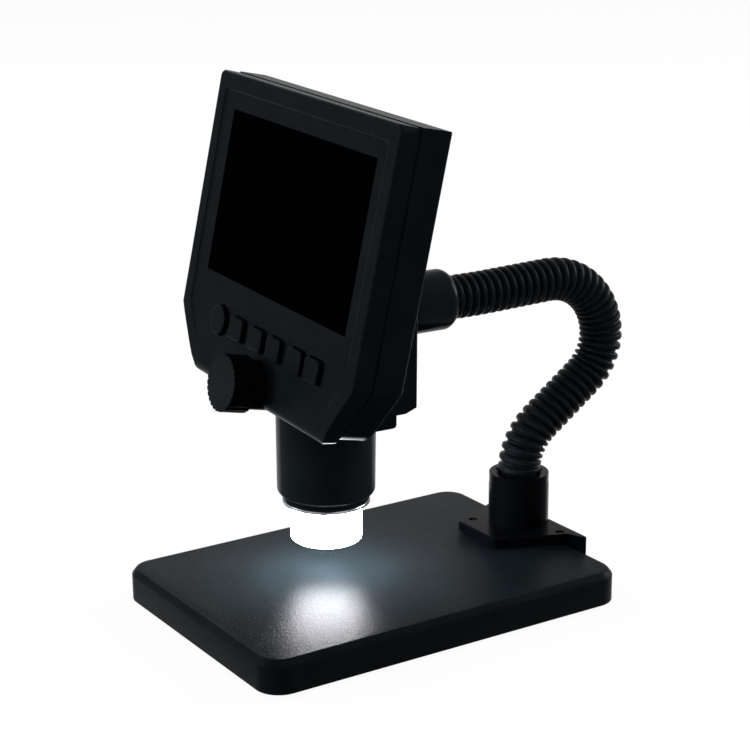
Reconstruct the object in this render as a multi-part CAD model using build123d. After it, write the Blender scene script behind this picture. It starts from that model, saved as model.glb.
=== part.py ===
"""Digital microscope with a built-in LCD, on a gooseneck stand.

Millimetres, +Z up. The origin is the centre of the base's underside, the user sits at -Y
and +X is on the user's right. The rubber feet stand below the origin.
"""
import os
from math import atan, cos, pi, radians, sin, sqrt

from build123d import *

os.makedirs("parts", exist_ok=True)

# ---- base ----------------------------------------------------------------------------------
BASE_WIDTH = 103.0
BASE_LENGTH = 142.5
BASE_HEIGHT = 11.7
BASE_CORNER_R = 8.8
BASE_BEVEL_INSET = 1.7
BASE_BEVEL_DROP = 2.1
BASE_WALL = 2.6
BASE_RIB = 1.6
COVER_THICKNESS = 1.8
COVER_GAP = 0.2
COVER_SCREW_SIDE_INSET = 6.5
COVER_SCREW_Y = 36.0
COVER_SCREW_FRONT_INSET = 5.75
COVER_SCREW_REAR_INSET = 11.25
BASE_BOSS_R = 3.2
BALLAST_THICKNESS = 4.0
BALLAST_MARGIN = 1.8
BALLAST_SLACK = 0.3
BALLAST_CORNER_R = 3.0
FOOT_R = 6.0
FOOT_STAND = 1.0
FOOT_RECESS = 0.8
FOOT_EDGE = 0.3
FOOT_SIDE_INSET = 11.5
FOOT_END_INSET = 13.25

# ---- screws --------------------------------------------------------------------------------
SCREW_R = 0.9
SCREW_HEAD_R = 1.55
SCREW_HEAD_HEIGHT = 1.2
SCREW_SLOT_WIDTH = 0.4
SCREW_SLOT_DEPTH = 0.5
SCREW_SLACK = 0.05
HEAD_SLACK = 0.1
BASE_SCREW_LENGTH = 7.0

# ---- post and its foot plate ---------------------------------------------------------------
POST_INSET = 6.95
POST_R = 10.95
POST_TOP_Z = 34.7
POST_FLOOR_Z = 17.0
POST_BORE_GAP = 0.1
POST_MOUTH = 0.9
COLLAR_HEIGHT = 4.4
COLLAR_STEP = 0.1
COLLAR_EDGE = 0.2
COLLAR_SEAT_R = 9.3
COLLAR_SEAT_HEIGHT = 2.6
PLATE_THICKNESS = 3.4
PLATE_EDGE = 0.5
PLATE_CORNER_R = 2.0
PLATE_GAP = 0.7
PAD_INSET = 1.2
PAD_RECESS = 0.25
PAD_RECESS_GROWTH = 0.3
PLATE_FRONT_INSET = 26.25
PLATE_FRONT_HALF = 11.4
PLATE_WAIST_INSET = 1.45
PLATE_WAIST_HALF = 22.0
PLATE_SHOULDER_OVERHANG = 0.75
PLATE_REAR_OVERHANG = 3.0
PLATE_REAR_HALF = 27.4
HOOK_BOTTOM_Z = 6.5
HOOK_CLEARANCE = 0.2
FRONT_SCREW_X = 9.4
FRONT_SCREW_INSET = 20.75
REAR_SCREW_X = 18.7
REAR_SCREW_INSET = 2.3
REAR_BOSS_R = 3.0
REAR_BOSS_BOTTOM_Z = 3.6
REAR_LEDGE_Z = 3.4
PLATE_HOLE_R = 1.65
PLATE_SCREW_SINK = 0.5
FRONT_SCREW_LENGTH = 10.5
REAR_SCREW_LENGTH = 13.0

# ---- gooseneck -----------------------------------------------------------------------------
ARM_YAW = -2.76
NECK_RISE = 0.06
BEND_1 = 53.25
BEND_1_R = 21.76
SLANT_RUN = 23.31
BEND_2 = 61.62
BEND_2_R = 19.77
BEND_3_R = 23.55
SAG = 2.0
SAG_R = 200.0
TOP_RUN = 26.0
LEVEL_RUN = 9.04
NECK_CREST_R = 7.8
NECK_ROOT_R = 6.3
CREST_SHARE = 0.45
NECK_GAP = 1.2
FIRST_RIB_COUNT = 3
MIDDLE_RIB_COUNT = 5
LAST_RIB_COUNT = 7
MIDDLE_LINK_COUNT = 7
BALL_R = 4.2
BALL_CLEARANCE = 0.12
SPIGOT_R = 7.0
SPIGOT_CLEARANCE = 0.1
SPIGOT_TAIL = 1.0

# ---- head: slab ----------------------------------------------------------------------------
HEAD_ROLL = 1.24
SCREEN_TILT = 12.0
FACE_WIDTH = 122.6
FACE_HEIGHT = 102.7
CHIN_RISE = 19.7
CHIN_INSET = 14.1
TOP_CORNER_R = 2.5
SIDE_CORNER_R = 3.0
CHIN_CORNER_R = 8.0
CHIN_ROUND_R = 3.5
SLAB_DEPTH = 18.8
BEZEL_DEPTH = 7.5
SHELL_WALL = 2.0
FRONT_WALL = 2.5
FRONT_EDGE_R = 0.8
REAR_EDGE_R = 1.5
FIELD_BORDER = 5.9
FIELD_STEP = 0.5

# ---- head: hump, sleeve and swivel ---------------------------------------------------------
HUMP_HALF = 30.0
HUMP_FRONT_Y = -3.0
HUMP_BACK_Y = 25.5
HUMP_TOP_Z = 40.0
HUMP_BOTTOM_Z = -26.5
HUMP_EDGE_R = 1.0
HUMP_LIP_Y = 20.9
HUMP_LIP_DROP = 1.4
BLOCK_BACK_Y = 17.3
BLOCK_BOTTOM_Z = -32.7
BLOCK_FRONT_Y = -4.0
BLOCK_EDGE_R = 1.5
SLEEVE_R = 10.7
SLEEVE_END_Y = 55.5
SLEEVE_END_ROUND = 4.0
SLEEVE_FLANGE_R = 13.0
SLEEVE_FLANGE = 2.0
SLEEVE_FIT = 0.05
BUSH_WALL = 0.9
BUSH_INSET = 1.0
CLIP_R = 9.6
CLIP_THICKNESS = 1.0
CLIP_GAP = 0.15
CLIP_GROOVE = 0.8

# ---- head: screen and boards ---------------------------------------------------------------
WINDOW_X = 2.9
WINDOW_SIDE_MARGIN = 13.1
WINDOW_TOP = 12.1
WINDOW_FOOT = 35.1
WINDOW_THICKNESS = 1.2
WINDOW_SINK = 0.3
WINDOW_GAP = 0.1
WINDOW_LEDGE = 0.9
LCD_BORDER = 2.4
LCD_THICKNESS = 3.0
SEAT_GAP = 0.1
BOARD_SIDE_MARGIN = 11.3
BOARD_TOP = 14.0
BOARD_FOOT = 28.7
BOARD_THICKNESS = 1.4
BOARD_DEPTH = 8.6
BOARD_PILLAR_R = 2.2
BOARD_PILLAR_INSET = 4.0
BATTERY_WIDTH = 50.0
BATTERY_HEIGHT = 34.0
BATTERY_THICKNESS = 5.4
BATTERY_TOP = 20.0
BATTERY_CORNER_R = 2.0
BATTERY_TAPE = 0.2
SIDE_SCREW_INSET = 4.3
SIDE_SCREW_TOP = 14.0
SIDE_SCREW_LOW_SHARE = 0.584
CHIN_SCREW_INSET = 7.2
CHIN_SCREW_RISE = 9.2
HOUSING_BOSS_R = 2.6
HOUSING_SCREW_SINK = 0.4
HOUSING_SCREW_LENGTH = 13.5

# ---- head: buttons -------------------------------------------------------------------------
BUTTON_RISE = 20.0
POWER_BUTTON_X = -30.5
POWER_BUTTON_R = 5.0
MENU_KEY_X = -17.0
MODE_KEY_X = -2.7
UP_KEY_X = 10.0
DOWN_KEY_X = 24.8
OK_KEY_X = 36.4
KEY_WIDTH = 9.0
KEY_HEIGHT = 7.4
KEY_CORNER_R = 1.8
BUTTON_PROUD = 1.8
BUTTON_EDGE = 0.4
BUTTON_GAP = 0.4
BUTTON_FLANGE = 0.8
BUTTON_FLANGE_GROWTH = 0.9
BUTTON_TRAVEL = 0.6
STEM_R = 1.0
STEM_LENGTH = 1.2
STEM_GAP = 0.1
SWITCH_SIZE = 6.0
SWITCH_HEIGHT = 1.7
SWITCH_REST_GAP = 0.2
KEY_BOARD_HEIGHT = 11.0
KEY_BOARD_THICKNESS = 1.2
KEY_BOARD_MARGIN = 12.0
KEY_PILLAR_R = 1.8
KEY_PILLAR_MARGIN = 9.5

# ---- head: focus drive ---------------------------------------------------------------------
KNOB_RISE = 5.4
KNOB_LEVEL = -19.47
KNOB_FACE_Y = -20.23
KNOB_R = 9.7
KNOB_PROUD = 12.3
KNOB_LENGTH = 8.6
KNOB_FLUTE_COUNT = 28
KNOB_FLUTE_R = 0.5
KNOB_EDGE = 0.35
HUB_R = 8.4
HUB_PROUD = 3.3
HUB_BACK = 20.0
HUB_CHAMBER_R = 4.2
SHAFT_R = 1.5
SHAFT_GROOVE_R = 1.1
SHAFT_IN_KNOB = 7.0
SHAFT_BUSH_R = 3.0
SHAFT_BUSH_LENGTH = 9.8
SHAFT_CLEARANCE = 0.05
PRESS_GAP = 0.02
SHAFT_CLIP_R = 2.7
SHAFT_CLIP_THICKNESS = 0.7
PINION_TOOTH_COUNT = 12
GEAR_MODULE = 0.5
PRESSURE_ANGLE = 20.0
PINION_ADDENDUM = 0.4
RACK_ADDENDUM = 0.35
GEAR_ROOT_GAP = 0.15
BACKLASH = 0.12
PINION_START = 11.4
PINION_LENGTH = 5.9
RACK_BAR = 2.4
RACK_FRONT_Y = -6.0
RACK_BACK_Y = 0.5
RACK_MIDDLE_Z = -23.0
RACK_LENGTH = 18.0

# ---- head: barrel and light ----------------------------------------------------------------
BARREL_Y = 7.08
BARREL_TOP_R = 17.26
BARREL_LOW_R = 16.95
BARREL_BORE_R = 14.6
BARREL_NECK_R = 15.9
BARREL_NECK_TOP_Z = -16.0
BARREL_FLOOR_Z = -60.2
BARREL_BOTTOM_Z = -62.4
BARREL_BOTTOM_ROUND = 1.9
BARREL_FIT = 0.15
PINION_HOLE_R = 3.9
SKIRT_R = 14.8
SKIRT_HEIGHT = 2.2
SKIRT_SEAT_R = 12.8
SKIRT_BORE_R = 9.5
SKIRT_SPIGOT = 3.4
RIM_R = 15.2
RIM_THICKNESS = 1.1
RIM_GAP = 0.15
DIFFUSER_R = 12.3
DIFFUSER_WALL = 1.5
DIFFUSER_BOTTOM_Z = -79.3
DIFFUSER_LIP = 4.0
DIFFUSER_EDGE_R = 1.0
LED_BOARD_R = 10.6
LED_BOARD_BORE_R = 7.0
LED_BOARD_THICKNESS = 1.2
LED_COUNT = 8
LED_SIZE = 2.4
LED_HEIGHT = 1.3
GUIDE_RIB = 3.0
GUIDE_RIB_DEPTH = 1.5
GUIDE_RIB_TOP_Z = -34.0
GUIDE_CLEARANCE = 0.1

# ---- head: lens carriage -------------------------------------------------------------------
CARRIAGE_R = 9.4
CARRIAGE_BORE_R = 7.6
CARRIAGE_TOP_Z = -20.0
CARRIAGE_BOTTOM_Z = -53.0
GUIDE_FLANGE = 2.6
GUIDE_SPACING = 8.0
LENS_R = 7.5
LENS_EDGE = 2.0
LENS_CURVE_R = 26.0
LENS_SHOULDER = 1.2
LENS_RING_LIP = 1.3
LENS_RING_HEIGHT = 1.8
SENSOR_BOARD = 16.0
SENSOR_BOARD_THICKNESS = 1.2
SENSOR_BOARD_SHIFT = 1.75
SENSOR_WIDTH = 8.0
SENSOR_LENGTH = 7.0
SENSOR_HEIGHT = 1.5

# ---- head: side controls -------------------------------------------------------------------
DIMMER_R = 7.0
DIMMER_PROUD = 1.4
DIMMER_THICKNESS = 2.8
DIMMER_DEPTH = 12.4
DIMMER_SHARE = 0.711
DIMMER_NOTCH_COUNT = 24
DIMMER_NOTCH_R = 0.35
DIMMER_AXLE_R = 1.2
DIMMER_AXLE_CAP_R = 2.2
DIMMER_AXLE_CAP = 0.7
DIMMER_PILLAR_R = 3.0
DIMMER_GAP = 0.2
DIMMER_SLOT_GAP = 0.3
USB_SHARE = 0.292
USB_WIDTH = 7.6
USB_HEIGHT = 2.8
USB_DEPTH = 9.0
CARD_SHARE = 0.448
CARD_WIDTH = 14.6
CARD_HEIGHT = 1.9
CARD_DEPTH = 15.0
SOCKET_WALL = 0.35
SOCKET_GAP = 0.2
SOCKET_SINK = 0.3


# ---- general forms -------------------------------------------------------------------------
def save(name, *shapes):
    """Write one node; several separate solids make one group."""
    solids = [solid for shape in shapes for solid in shape.solids()]
    export_step(solids[0] if len(solids) == 1 else Compound(solids), f"parts/{name}.step")


def post_z(radius, low, high, x=0.0, y=0.0):
    """Cylinder along Z."""
    return Pos(x, y, low) * Cylinder(radius, high - low, align=(Align.CENTER, Align.CENTER, Align.MIN))


def box(x0, x1, y0, y1, z0, z1):
    return Pos((x0 + x1) / 2, (y0 + y1) / 2, (z0 + z1) / 2) * Box(x1 - x0, y1 - y0, z1 - z0)


def plate_y(sketch, front, back):
    """A sketch in X and Z, given thickness along +Y from front to back."""
    plane = Plane(origin=(0, back, 0), x_dir=(1, 0, 0), z_dir=(0, -1, 0))
    return extrude(plane * sketch, amount=back - front, dir=(0, -1, 0))


def rod_y(radius, front, back, x=0.0, z=0.0):
    """Cylinder along Y."""
    return plate_y(Pos(x, z) * Circle(radius), front, back)


def turned(points, y=0.0):
    """Solid of revolution about a vertical axis, from (radius, z) points."""
    profile = Plane.XZ * Polygon(*points, align=None)
    return Pos(0, y, 0) * revolve(profile, Axis.Z)


def pan_screw(length):
    """Pan-head screw pointing down, with the top of its head at the origin."""
    head = post_z(SCREW_HEAD_R, -SCREW_HEAD_HEIGHT, 0)
    slot = SCREW_SLOT_WIDTH / 2
    head -= box(-SCREW_HEAD_R, SCREW_HEAD_R, -slot, slot, -SCREW_SLOT_DEPTH, 1)
    return head + post_z(SCREW_R, -length, -SCREW_HEAD_HEIGHT)


def mirrored_places(x, y):
    return [(-x, y), (x, y)]


# ---- base ----------------------------------------------------------------------------------
ROOF_Z = BASE_HEIGHT - BASE_WALL
PAD_BOTTOM_Z = BASE_HEIGHT - PAD_RECESS
PLATE_BOTTOM_Z = BASE_HEIGHT + PLATE_GAP
PLATE_TOP_Z = PLATE_BOTTOM_Z + PLATE_THICKNESS
SCREW_HOLE_R = SCREW_R + SCREW_SLACK
HEAD_HOLE_R = SCREW_HEAD_R + HEAD_SLACK
BASE_BACK_Y = BASE_LENGTH / 2
COVER_SCREW_X = BASE_WIDTH / 2 - COVER_SCREW_SIDE_INSET
COVER_SCREW_FRONT_Y = COVER_SCREW_FRONT_INSET - BASE_BACK_Y
FRONT_SCREW_Y = BASE_BACK_Y - FRONT_SCREW_INSET
COVER_SCREWS = mirrored_places(COVER_SCREW_X, COVER_SCREW_Y)
COVER_SCREWS += mirrored_places(COVER_SCREW_X, -COVER_SCREW_Y)
COVER_SCREWS += [(0.0, COVER_SCREW_FRONT_Y), (0.0, BASE_BACK_Y - COVER_SCREW_REAR_INSET)]
FRONT_SCREWS = mirrored_places(FRONT_SCREW_X, FRONT_SCREW_Y)
REAR_SCREWS = mirrored_places(REAR_SCREW_X, BASE_BACK_Y - REAR_SCREW_INSET)
FOOT_X = BASE_WIDTH / 2 - FOOT_SIDE_INSET
FOOT_Y = BASE_BACK_Y - FOOT_END_INSET
BASE_FEET = mirrored_places(FOOT_X, FOOT_Y) + mirrored_places(FOOT_X, -FOOT_Y)
BALLAST_HALF = COVER_SCREW_X - BASE_BOSS_R - BALLAST_MARGIN
BALLAST_FRONT_Y = COVER_SCREW_FRONT_Y + BASE_BOSS_R + BALLAST_MARGIN
BALLAST_BACK_Y = FRONT_SCREW_Y - BASE_BOSS_R - BALLAST_MARGIN
POST_Y = BASE_BACK_Y - POST_INSET
PLATE_REAR_Y = BASE_BACK_Y + PLATE_REAR_OVERHANG


def base_outline(inset):
    return RectangleRounded(BASE_WIDTH - 2 * inset, BASE_LENGTH - 2 * inset, BASE_CORNER_R - inset)


def plate_outline(inset=0.0):
    """Plan of the post's foot plate: narrow in front, a wide bar behind the base."""
    half = [
        (PLATE_FRONT_HALF, BASE_BACK_Y - PLATE_FRONT_INSET),
        (PLATE_WAIST_HALF, BASE_BACK_Y - PLATE_WAIST_INSET),
        (PLATE_REAR_HALF, BASE_BACK_Y + PLATE_SHOULDER_OVERHANG),
        (PLATE_REAR_HALF, PLATE_REAR_Y),
    ]
    outline = Polygon(*half, *[(-x, y) for x, y in reversed(half)], align=None)
    outline = fillet(outline.vertices().sort_by(Axis.Y)[:2], PLATE_CORNER_R)
    return offset(outline, -inset, kind=Kind.INTERSECTION) if inset else outline


def base_shell():
    """Top shell of the base, open below, with the bevelled edge, screw bosses and ballast ribs."""
    bevel_z = BASE_HEIGHT - BASE_BEVEL_DROP
    outer = extrude(base_outline(0), bevel_z)
    bevel_top = Pos(0, 0, BASE_HEIGHT) * base_outline(BASE_BEVEL_INSET)
    outer += loft([Pos(0, 0, bevel_z) * base_outline(0), bevel_top])
    shell = outer - extrude(base_outline(BASE_WALL), ROOF_Z)
    inside = Part()
    for x, y in COVER_SCREWS + FRONT_SCREWS:
        inside += post_z(BASE_BOSS_R, COVER_THICKNESS, ROOF_Z, x, y)
    for x, y in REAR_SCREWS:
        inside += post_z(REAR_BOSS_R + BASE_WALL, COVER_THICKNESS, ROOF_Z, x, y)
    rib_bottom = ROOF_Z - BALLAST_THICKNESS
    rib_x = BALLAST_HALF + BALLAST_SLACK
    front, back = BALLAST_FRONT_Y - BALLAST_SLACK, BALLAST_BACK_Y + BALLAST_SLACK
    side = BASE_WIDTH / 2 - BASE_WALL / 2
    for end in (front - BASE_RIB, back):
        inside += box(-side, side, end, end + BASE_RIB, rib_bottom, ROOF_Z)
    for start in (-rib_x - BASE_RIB, rib_x):
        inside += box(start, start + BASE_RIB, front, back, rib_bottom, ROOF_Z)
    shell += inside & outer
    shell -= extrude(Pos(0, 0, PAD_BOTTOM_Z) * plate_outline(-PAD_RECESS_GROWTH), BASE_HEIGHT)
    for x, y in COVER_SCREWS:
        shell -= post_z(SCREW_HOLE_R, 0, ROOF_Z, x, y)
    for x, y in FRONT_SCREWS:
        shell -= post_z(SCREW_HOLE_R, COVER_THICKNESS + 1, BASE_HEIGHT, x, y)
    for x, y in REAR_SCREWS:
        shell -= post_z(REAR_BOSS_R + HOOK_CLEARANCE, REAR_LEDGE_Z, BASE_HEIGHT, x, y)
        shell -= post_z(SCREW_HOLE_R, 0, REAR_LEDGE_Z, x, y)
    return shell


def base_cover():
    """Flat bottom plate, let into the shell."""
    cover = extrude(base_outline(BASE_WALL + COVER_GAP), COVER_THICKNESS)
    for x, y in COVER_SCREWS:
        cover -= post_z(SCREW_HOLE_R, 0, COVER_THICKNESS, x, y)
        cover -= post_z(HEAD_HOLE_R, 0, SCREW_HEAD_HEIGHT, x, y)
    for x, y in BASE_FEET:
        cover -= post_z(FOOT_R, 0, FOOT_RECESS, x, y)
    return cover


def ballast_plate():
    length = BALLAST_BACK_Y - BALLAST_FRONT_Y
    plate = extrude(RectangleRounded(2 * BALLAST_HALF, length, BALLAST_CORNER_R), BALLAST_THICKNESS)
    return Pos(0, BALLAST_BACK_Y - length / 2, ROOF_Z - BALLAST_THICKNESS) * plate


def base_foot(x, y):
    foot = post_z(FOOT_R, -FOOT_STAND, FOOT_RECESS, x, y)
    return chamfer(foot.edges().group_by(Axis.Z)[0], FOOT_EDGE)


BORE_R = NECK_CREST_R + POST_BORE_GAP
COLLAR_Z = POST_TOP_Z - COLLAR_HEIGHT
SCREW_HEAD_TOP_Z = PLATE_TOP_Z - PLATE_SCREW_SINK


def post():
    """Post, foot plate and rear hook in one moulding."""
    plate = extrude(Pos(0, 0, PLATE_BOTTOM_Z) * plate_outline(), PLATE_THICKNESS)
    plate = chamfer(plate.edges().group_by(Axis.Z)[-1], PLATE_EDGE)
    half, hook_y = PLATE_REAR_HALF, BASE_BACK_Y + HOOK_CLEARANCE
    body = plate + box(-half, half, hook_y, PLATE_REAR_Y, HOOK_BOTTOM_Z, PLATE_BOTTOM_Z + 1)
    for x, y in REAR_SCREWS:
        body += post_z(REAR_BOSS_R, REAR_BOSS_BOTTOM_Z, PLATE_BOTTOM_Z + 1, x, y)
    body += post_z(POST_R, PLATE_BOTTOM_Z, COLLAR_Z, 0, POST_Y)
    body += post_z(COLLAR_SEAT_R, COLLAR_Z, COLLAR_Z + COLLAR_SEAT_HEIGHT, 0, POST_Y)
    body -= post_z(BORE_R, POST_FLOOR_Z, POST_TOP_Z, 0, POST_Y)
    for x, y in FRONT_SCREWS + REAR_SCREWS:
        body -= post_z(PLATE_HOLE_R, SCREW_HEAD_TOP_Z - SCREW_HEAD_HEIGHT, PLATE_TOP_Z, x, y)
        body -= post_z(SCREW_HOLE_R, 0, PLATE_TOP_Z, x, y)
    return body


def post_collar():
    """Clamp ring on the post's top, with a bevelled mouth for the neck."""
    outer = POST_R - COLLAR_STEP
    inner_seat = COLLAR_SEAT_R + PRESS_GAP
    seat_top = COLLAR_Z + COLLAR_SEAT_HEIGHT
    points = [
        (inner_seat, COLLAR_Z),
        (outer, COLLAR_Z),
        (outer, POST_TOP_Z - COLLAR_EDGE),
        (outer - COLLAR_EDGE, POST_TOP_Z),
        (BORE_R + POST_MOUTH, POST_TOP_Z),
        (BORE_R, POST_TOP_Z - POST_MOUTH),
        (BORE_R, seat_top),
        (inner_seat, seat_top),
    ]
    return turned(points, POST_Y)


def post_pad():
    """Thin rubber pad between foot plate and base."""
    pad = extrude(Pos(0, 0, PAD_BOTTOM_Z) * plate_outline(PAD_INSET), PLATE_BOTTOM_Z - PAD_BOTTOM_Z)
    flat_end = BASE_BACK_Y - BASE_BEVEL_INSET
    pad &= box(-PLATE_REAR_HALF, PLATE_REAR_HALF, 0, flat_end, PAD_BOTTOM_Z, PLATE_BOTTOM_Z)
    for x, y in FRONT_SCREWS:
        pad -= post_z(SCREW_HOLE_R, PAD_BOTTOM_Z, PLATE_BOTTOM_Z, x, y)
    for x, y in REAR_SCREWS:
        pad -= post_z(REAR_BOSS_R + HOOK_CLEARANCE, PAD_BOTTOM_Z, PLATE_BOTTOM_Z, x, y)
    return pad


save("base_shell", base_shell())
save("base_cover", base_cover())
save("ballast_plate", ballast_plate())
save("base_feet", *[base_foot(x, y) for x, y in BASE_FEET])
cover_screw = Rot(180, 0, 0) * pan_screw(BASE_SCREW_LENGTH)
save("cover_screws", *[Pos(x, y, 0) * cover_screw for x, y in COVER_SCREWS])
save("post", post())
save("post_collar", post_collar())
save("post_pad", post_pad())
plate_screws = [Pos(x, y, SCREW_HEAD_TOP_Z) * pan_screw(FRONT_SCREW_LENGTH) for x, y in FRONT_SCREWS]
plate_screws += [Pos(x, y, SCREW_HEAD_TOP_Z) * pan_screw(REAR_SCREW_LENGTH) for x, y in REAR_SCREWS]
save("post_screws", *plate_screws)

# ---- gooseneck -----------------------------------------------------------------------------
# The neck lies in one upright plane through the post, turned by ARM_YAW. In that plane Y is
# back and Z up. Each run of the centre line is a length and a bend, one over its radius.
ARM = Pos(0, POST_Y, 0) * Rot(0, 0, ARM_YAW)
BEND_3 = 90 + BEND_1 - BEND_2 + SAG
NECK_RUNS = [
    (NECK_RISE, 0.0),
    (radians(BEND_1) * BEND_1_R, -1 / BEND_1_R),
    (SLANT_RUN, 0.0),
    (radians(BEND_2) * BEND_2_R, 1 / BEND_2_R),
    (radians(BEND_3) * BEND_3_R, 1 / BEND_3_R),
    (TOP_RUN, 0.0),
    (radians(SAG) * SAG_R, -1 / SAG_R),
    (LEVEL_RUN, 0.0),
]
NECK_LENGTH = sum(length for length, bend in NECK_RUNS)
RIB_COUNTS = [FIRST_RIB_COUNT] + MIDDLE_LINK_COUNT * [MIDDLE_RIB_COUNT] + [LAST_RIB_COUNT]
RIB_PITCH = NECK_LENGTH / sum(RIB_COUNTS)
LINK_ENDS = [sum(RIB_COUNTS[:n]) * RIB_PITCH for n in range(len(RIB_COUNTS) + 1)]


def station(distance):
    """Y, Z and heading on the neck's centre line, at a distance along it from the post's top."""
    y = 0.0
    z = POST_TOP_Z
    heading = pi / 2
    for length, bend in NECK_RUNS:
        step = min(distance, length)
        turn = bend * step
        if bend:
            y += (sin(heading + turn) - sin(heading)) / bend
            z -= (cos(heading + turn) - cos(heading)) / bend
        else:
            y += step * cos(heading)
            z += step * sin(heading)
        heading += turn
        distance -= step
    return y, z, heading


def ring(distance, radius):
    """Round section of the neck, square to its centre line."""
    y, z, heading = station(distance)
    plane = Plane(origin=(0, y, z), x_dir=(1, 0, 0), z_dir=(0, cos(heading), sin(heading)))
    return plane * Circle(radius)


def ball(distance, radius):
    y, z, heading = station(distance)
    return Pos(0, y, z) * Sphere(radius)


def neck_link(number):
    """One ribbed length of the neck: a ball on its upper end turns in the next one's socket."""
    start, end = LINK_ENDS[number - 1], LINK_ENDS[number]
    first = number == 1
    last = number == len(RIB_COUNTS)
    sections = [(start + (0 if first else NECK_GAP / 2), NECK_ROOT_R)]
    for rib in range(RIB_COUNTS[number - 1]):
        middle = start + (rib + 0.5) * RIB_PITCH
        half = CREST_SHARE * RIB_PITCH / 2
        sections += [(middle - half, NECK_CREST_R), (middle + half, NECK_CREST_R)]
        sections.append((middle + RIB_PITCH / 2, NECK_ROOT_R))
    sections[-1] = (end - (0 if last else NECK_GAP / 2), NECK_ROOT_R)
    link = loft([ring(distance, radius) for distance, radius in sections], ruled=True)
    if first:
        link += post_z(NECK_CREST_R, POST_FLOOR_Z, POST_TOP_Z - POST_MOUTH)
        link += post_z(NECK_ROOT_R, POST_TOP_Z - POST_MOUTH, POST_TOP_Z)
    else:
        link -= ball(start, BALL_R + BALL_CLEARANCE)
    if last:
        link += neck_spigot()
    else:
        link += ball(end, BALL_R)
    return link


HEAD_Y = station(NECK_LENGTH)[0] - SLEEVE_END_Y
SLEEVE_Z = station(NECK_LENGTH)[1]
HUMP_INNER_Y = HUMP_BACK_Y - SHELL_WALL
FLANGE_FRONT_Y = HUMP_INNER_Y - SLEEVE_FLANGE
CLIP_BACK_Y = FLANGE_FRONT_Y - CLIP_GAP
SPIGOT_END_Y = CLIP_BACK_Y - CLIP_THICKNESS - SPIGOT_TAIL


def neck_spigot():
    """Smooth end of the neck that the head swivels on, with a groove for its clip."""
    spigot = rod_y(SPIGOT_R, SPIGOT_END_Y, SLEEVE_END_Y)
    groove = rod_y(SPIGOT_R, CLIP_BACK_Y - CLIP_THICKNESS, CLIP_BACK_Y)
    groove -= rod_y(SPIGOT_R - CLIP_GROOVE, CLIP_BACK_Y - CLIP_THICKNESS, CLIP_BACK_Y)
    return Pos(0, HEAD_Y, SLEEVE_Z) * (spigot - groove)


def swivel_clip():
    """Round clip in the spigot's groove, open towards the side."""
    inner = SPIGOT_R - CLIP_GROOVE + PRESS_GAP
    clip = rod_y(CLIP_R, CLIP_BACK_Y - CLIP_THICKNESS, CLIP_BACK_Y)
    clip -= rod_y(inner, CLIP_BACK_Y - CLIP_THICKNESS, CLIP_BACK_Y)
    clip -= box(0, CLIP_R, CLIP_BACK_Y - CLIP_THICKNESS, CLIP_BACK_Y, -inner / 2, inner / 2)
    return Pos(0, HEAD_Y, SLEEVE_Z) * clip


for number in range(1, len(RIB_COUNTS) + 1):
    save(f"neck_link_{number}", ARM * neck_link(number))
save("swivel_clip", ARM * swivel_clip())

# ---- head ----------------------------------------------------------------------------------
# Head frame: origin on the sleeve's axis, under the face's top edge; Y back, Z up.
# Face frame: origin in the middle of the face's top edge; Y into the head, Z up the face. The
# face leans back through the knob's centre, whose place in the head frame is fixed.
KNOB_Z = KNOB_RISE - FACE_HEIGHT
BUTTON_DROP = FACE_HEIGHT - BUTTON_RISE
HEAD = ARM * Pos(0, HEAD_Y, SLEEVE_Z) * Rot(0, HEAD_ROLL, 0)
FACE = Pos(0, KNOB_FACE_Y, KNOB_LEVEL) * Rot(-SCREEN_TILT, 0, 0) * Pos(0, 0, -KNOB_Z)
CHIN_HALF = FACE_WIDTH / 2 - CHIN_INSET
SIDE_SCREW_X = FACE_WIDTH / 2 - SIDE_SCREW_INSET
HOUSING_SCREWS = mirrored_places(SIDE_SCREW_X, -SIDE_SCREW_TOP)
HOUSING_SCREWS += mirrored_places(SIDE_SCREW_X, -SIDE_SCREW_LOW_SHARE * FACE_HEIGHT)
HOUSING_SCREWS += mirrored_places(CHIN_HALF - CHIN_SCREW_INSET, CHIN_SCREW_RISE - FACE_HEIGHT)
WINDOW_WIDTH = FACE_WIDTH - 2 * WINDOW_SIDE_MARGIN
WINDOW_HEIGHT = FACE_HEIGHT - WINDOW_TOP - WINDOW_FOOT
BOARD_HALF = FACE_WIDTH / 2 - BOARD_SIDE_MARGIN
BOARD_LOW = BOARD_FOOT - FACE_HEIGHT
DIMMER_DROP = DIMMER_SHARE * FACE_HEIGHT
BACK_WALL = SLAB_DEPTH - SHELL_WALL
LCD_FRONT = FRONT_WALL + SEAT_GAP


def save_head(name, *shapes):
    """Write a node that is modelled in the head frame."""
    save(name, *[HEAD * shape for shape in shapes])


def save_face(name, *shapes):
    """Write a node that is modelled in the face frame."""
    save(name, *[HEAD * FACE * shape for shape in shapes])


def face_outline(inset):
    """The slab's outline or one inside it: straight sides, slanted lower corners."""
    half = FACE_WIDTH / 2
    corners = [(half, 0), (half, CHIN_RISE - FACE_HEIGHT), (CHIN_HALF, -FACE_HEIGHT)]
    outline = Polygon(*corners, *[(-x, z) for x, z in reversed(corners)], align=None)
    if inset:
        outline = offset(outline, -inset, kind=Kind.INTERSECTION)
    chin, side, top = outline.vertices().group_by(Axis.Y)
    outline = fillet(top, max(TOP_CORNER_R - inset, 0.5))
    outline = fillet(side, max(SIDE_CORNER_R - inset, 0.5))
    return fillet(chin, max(CHIN_CORNER_R - inset, 1.0))


def window_outline(growth):
    middle = -WINDOW_TOP - WINDOW_HEIGHT / 2
    return Pos(WINDOW_X, middle) * Rectangle(WINDOW_WIDTH + 2 * growth, WINDOW_HEIGHT + 2 * growth)


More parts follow.
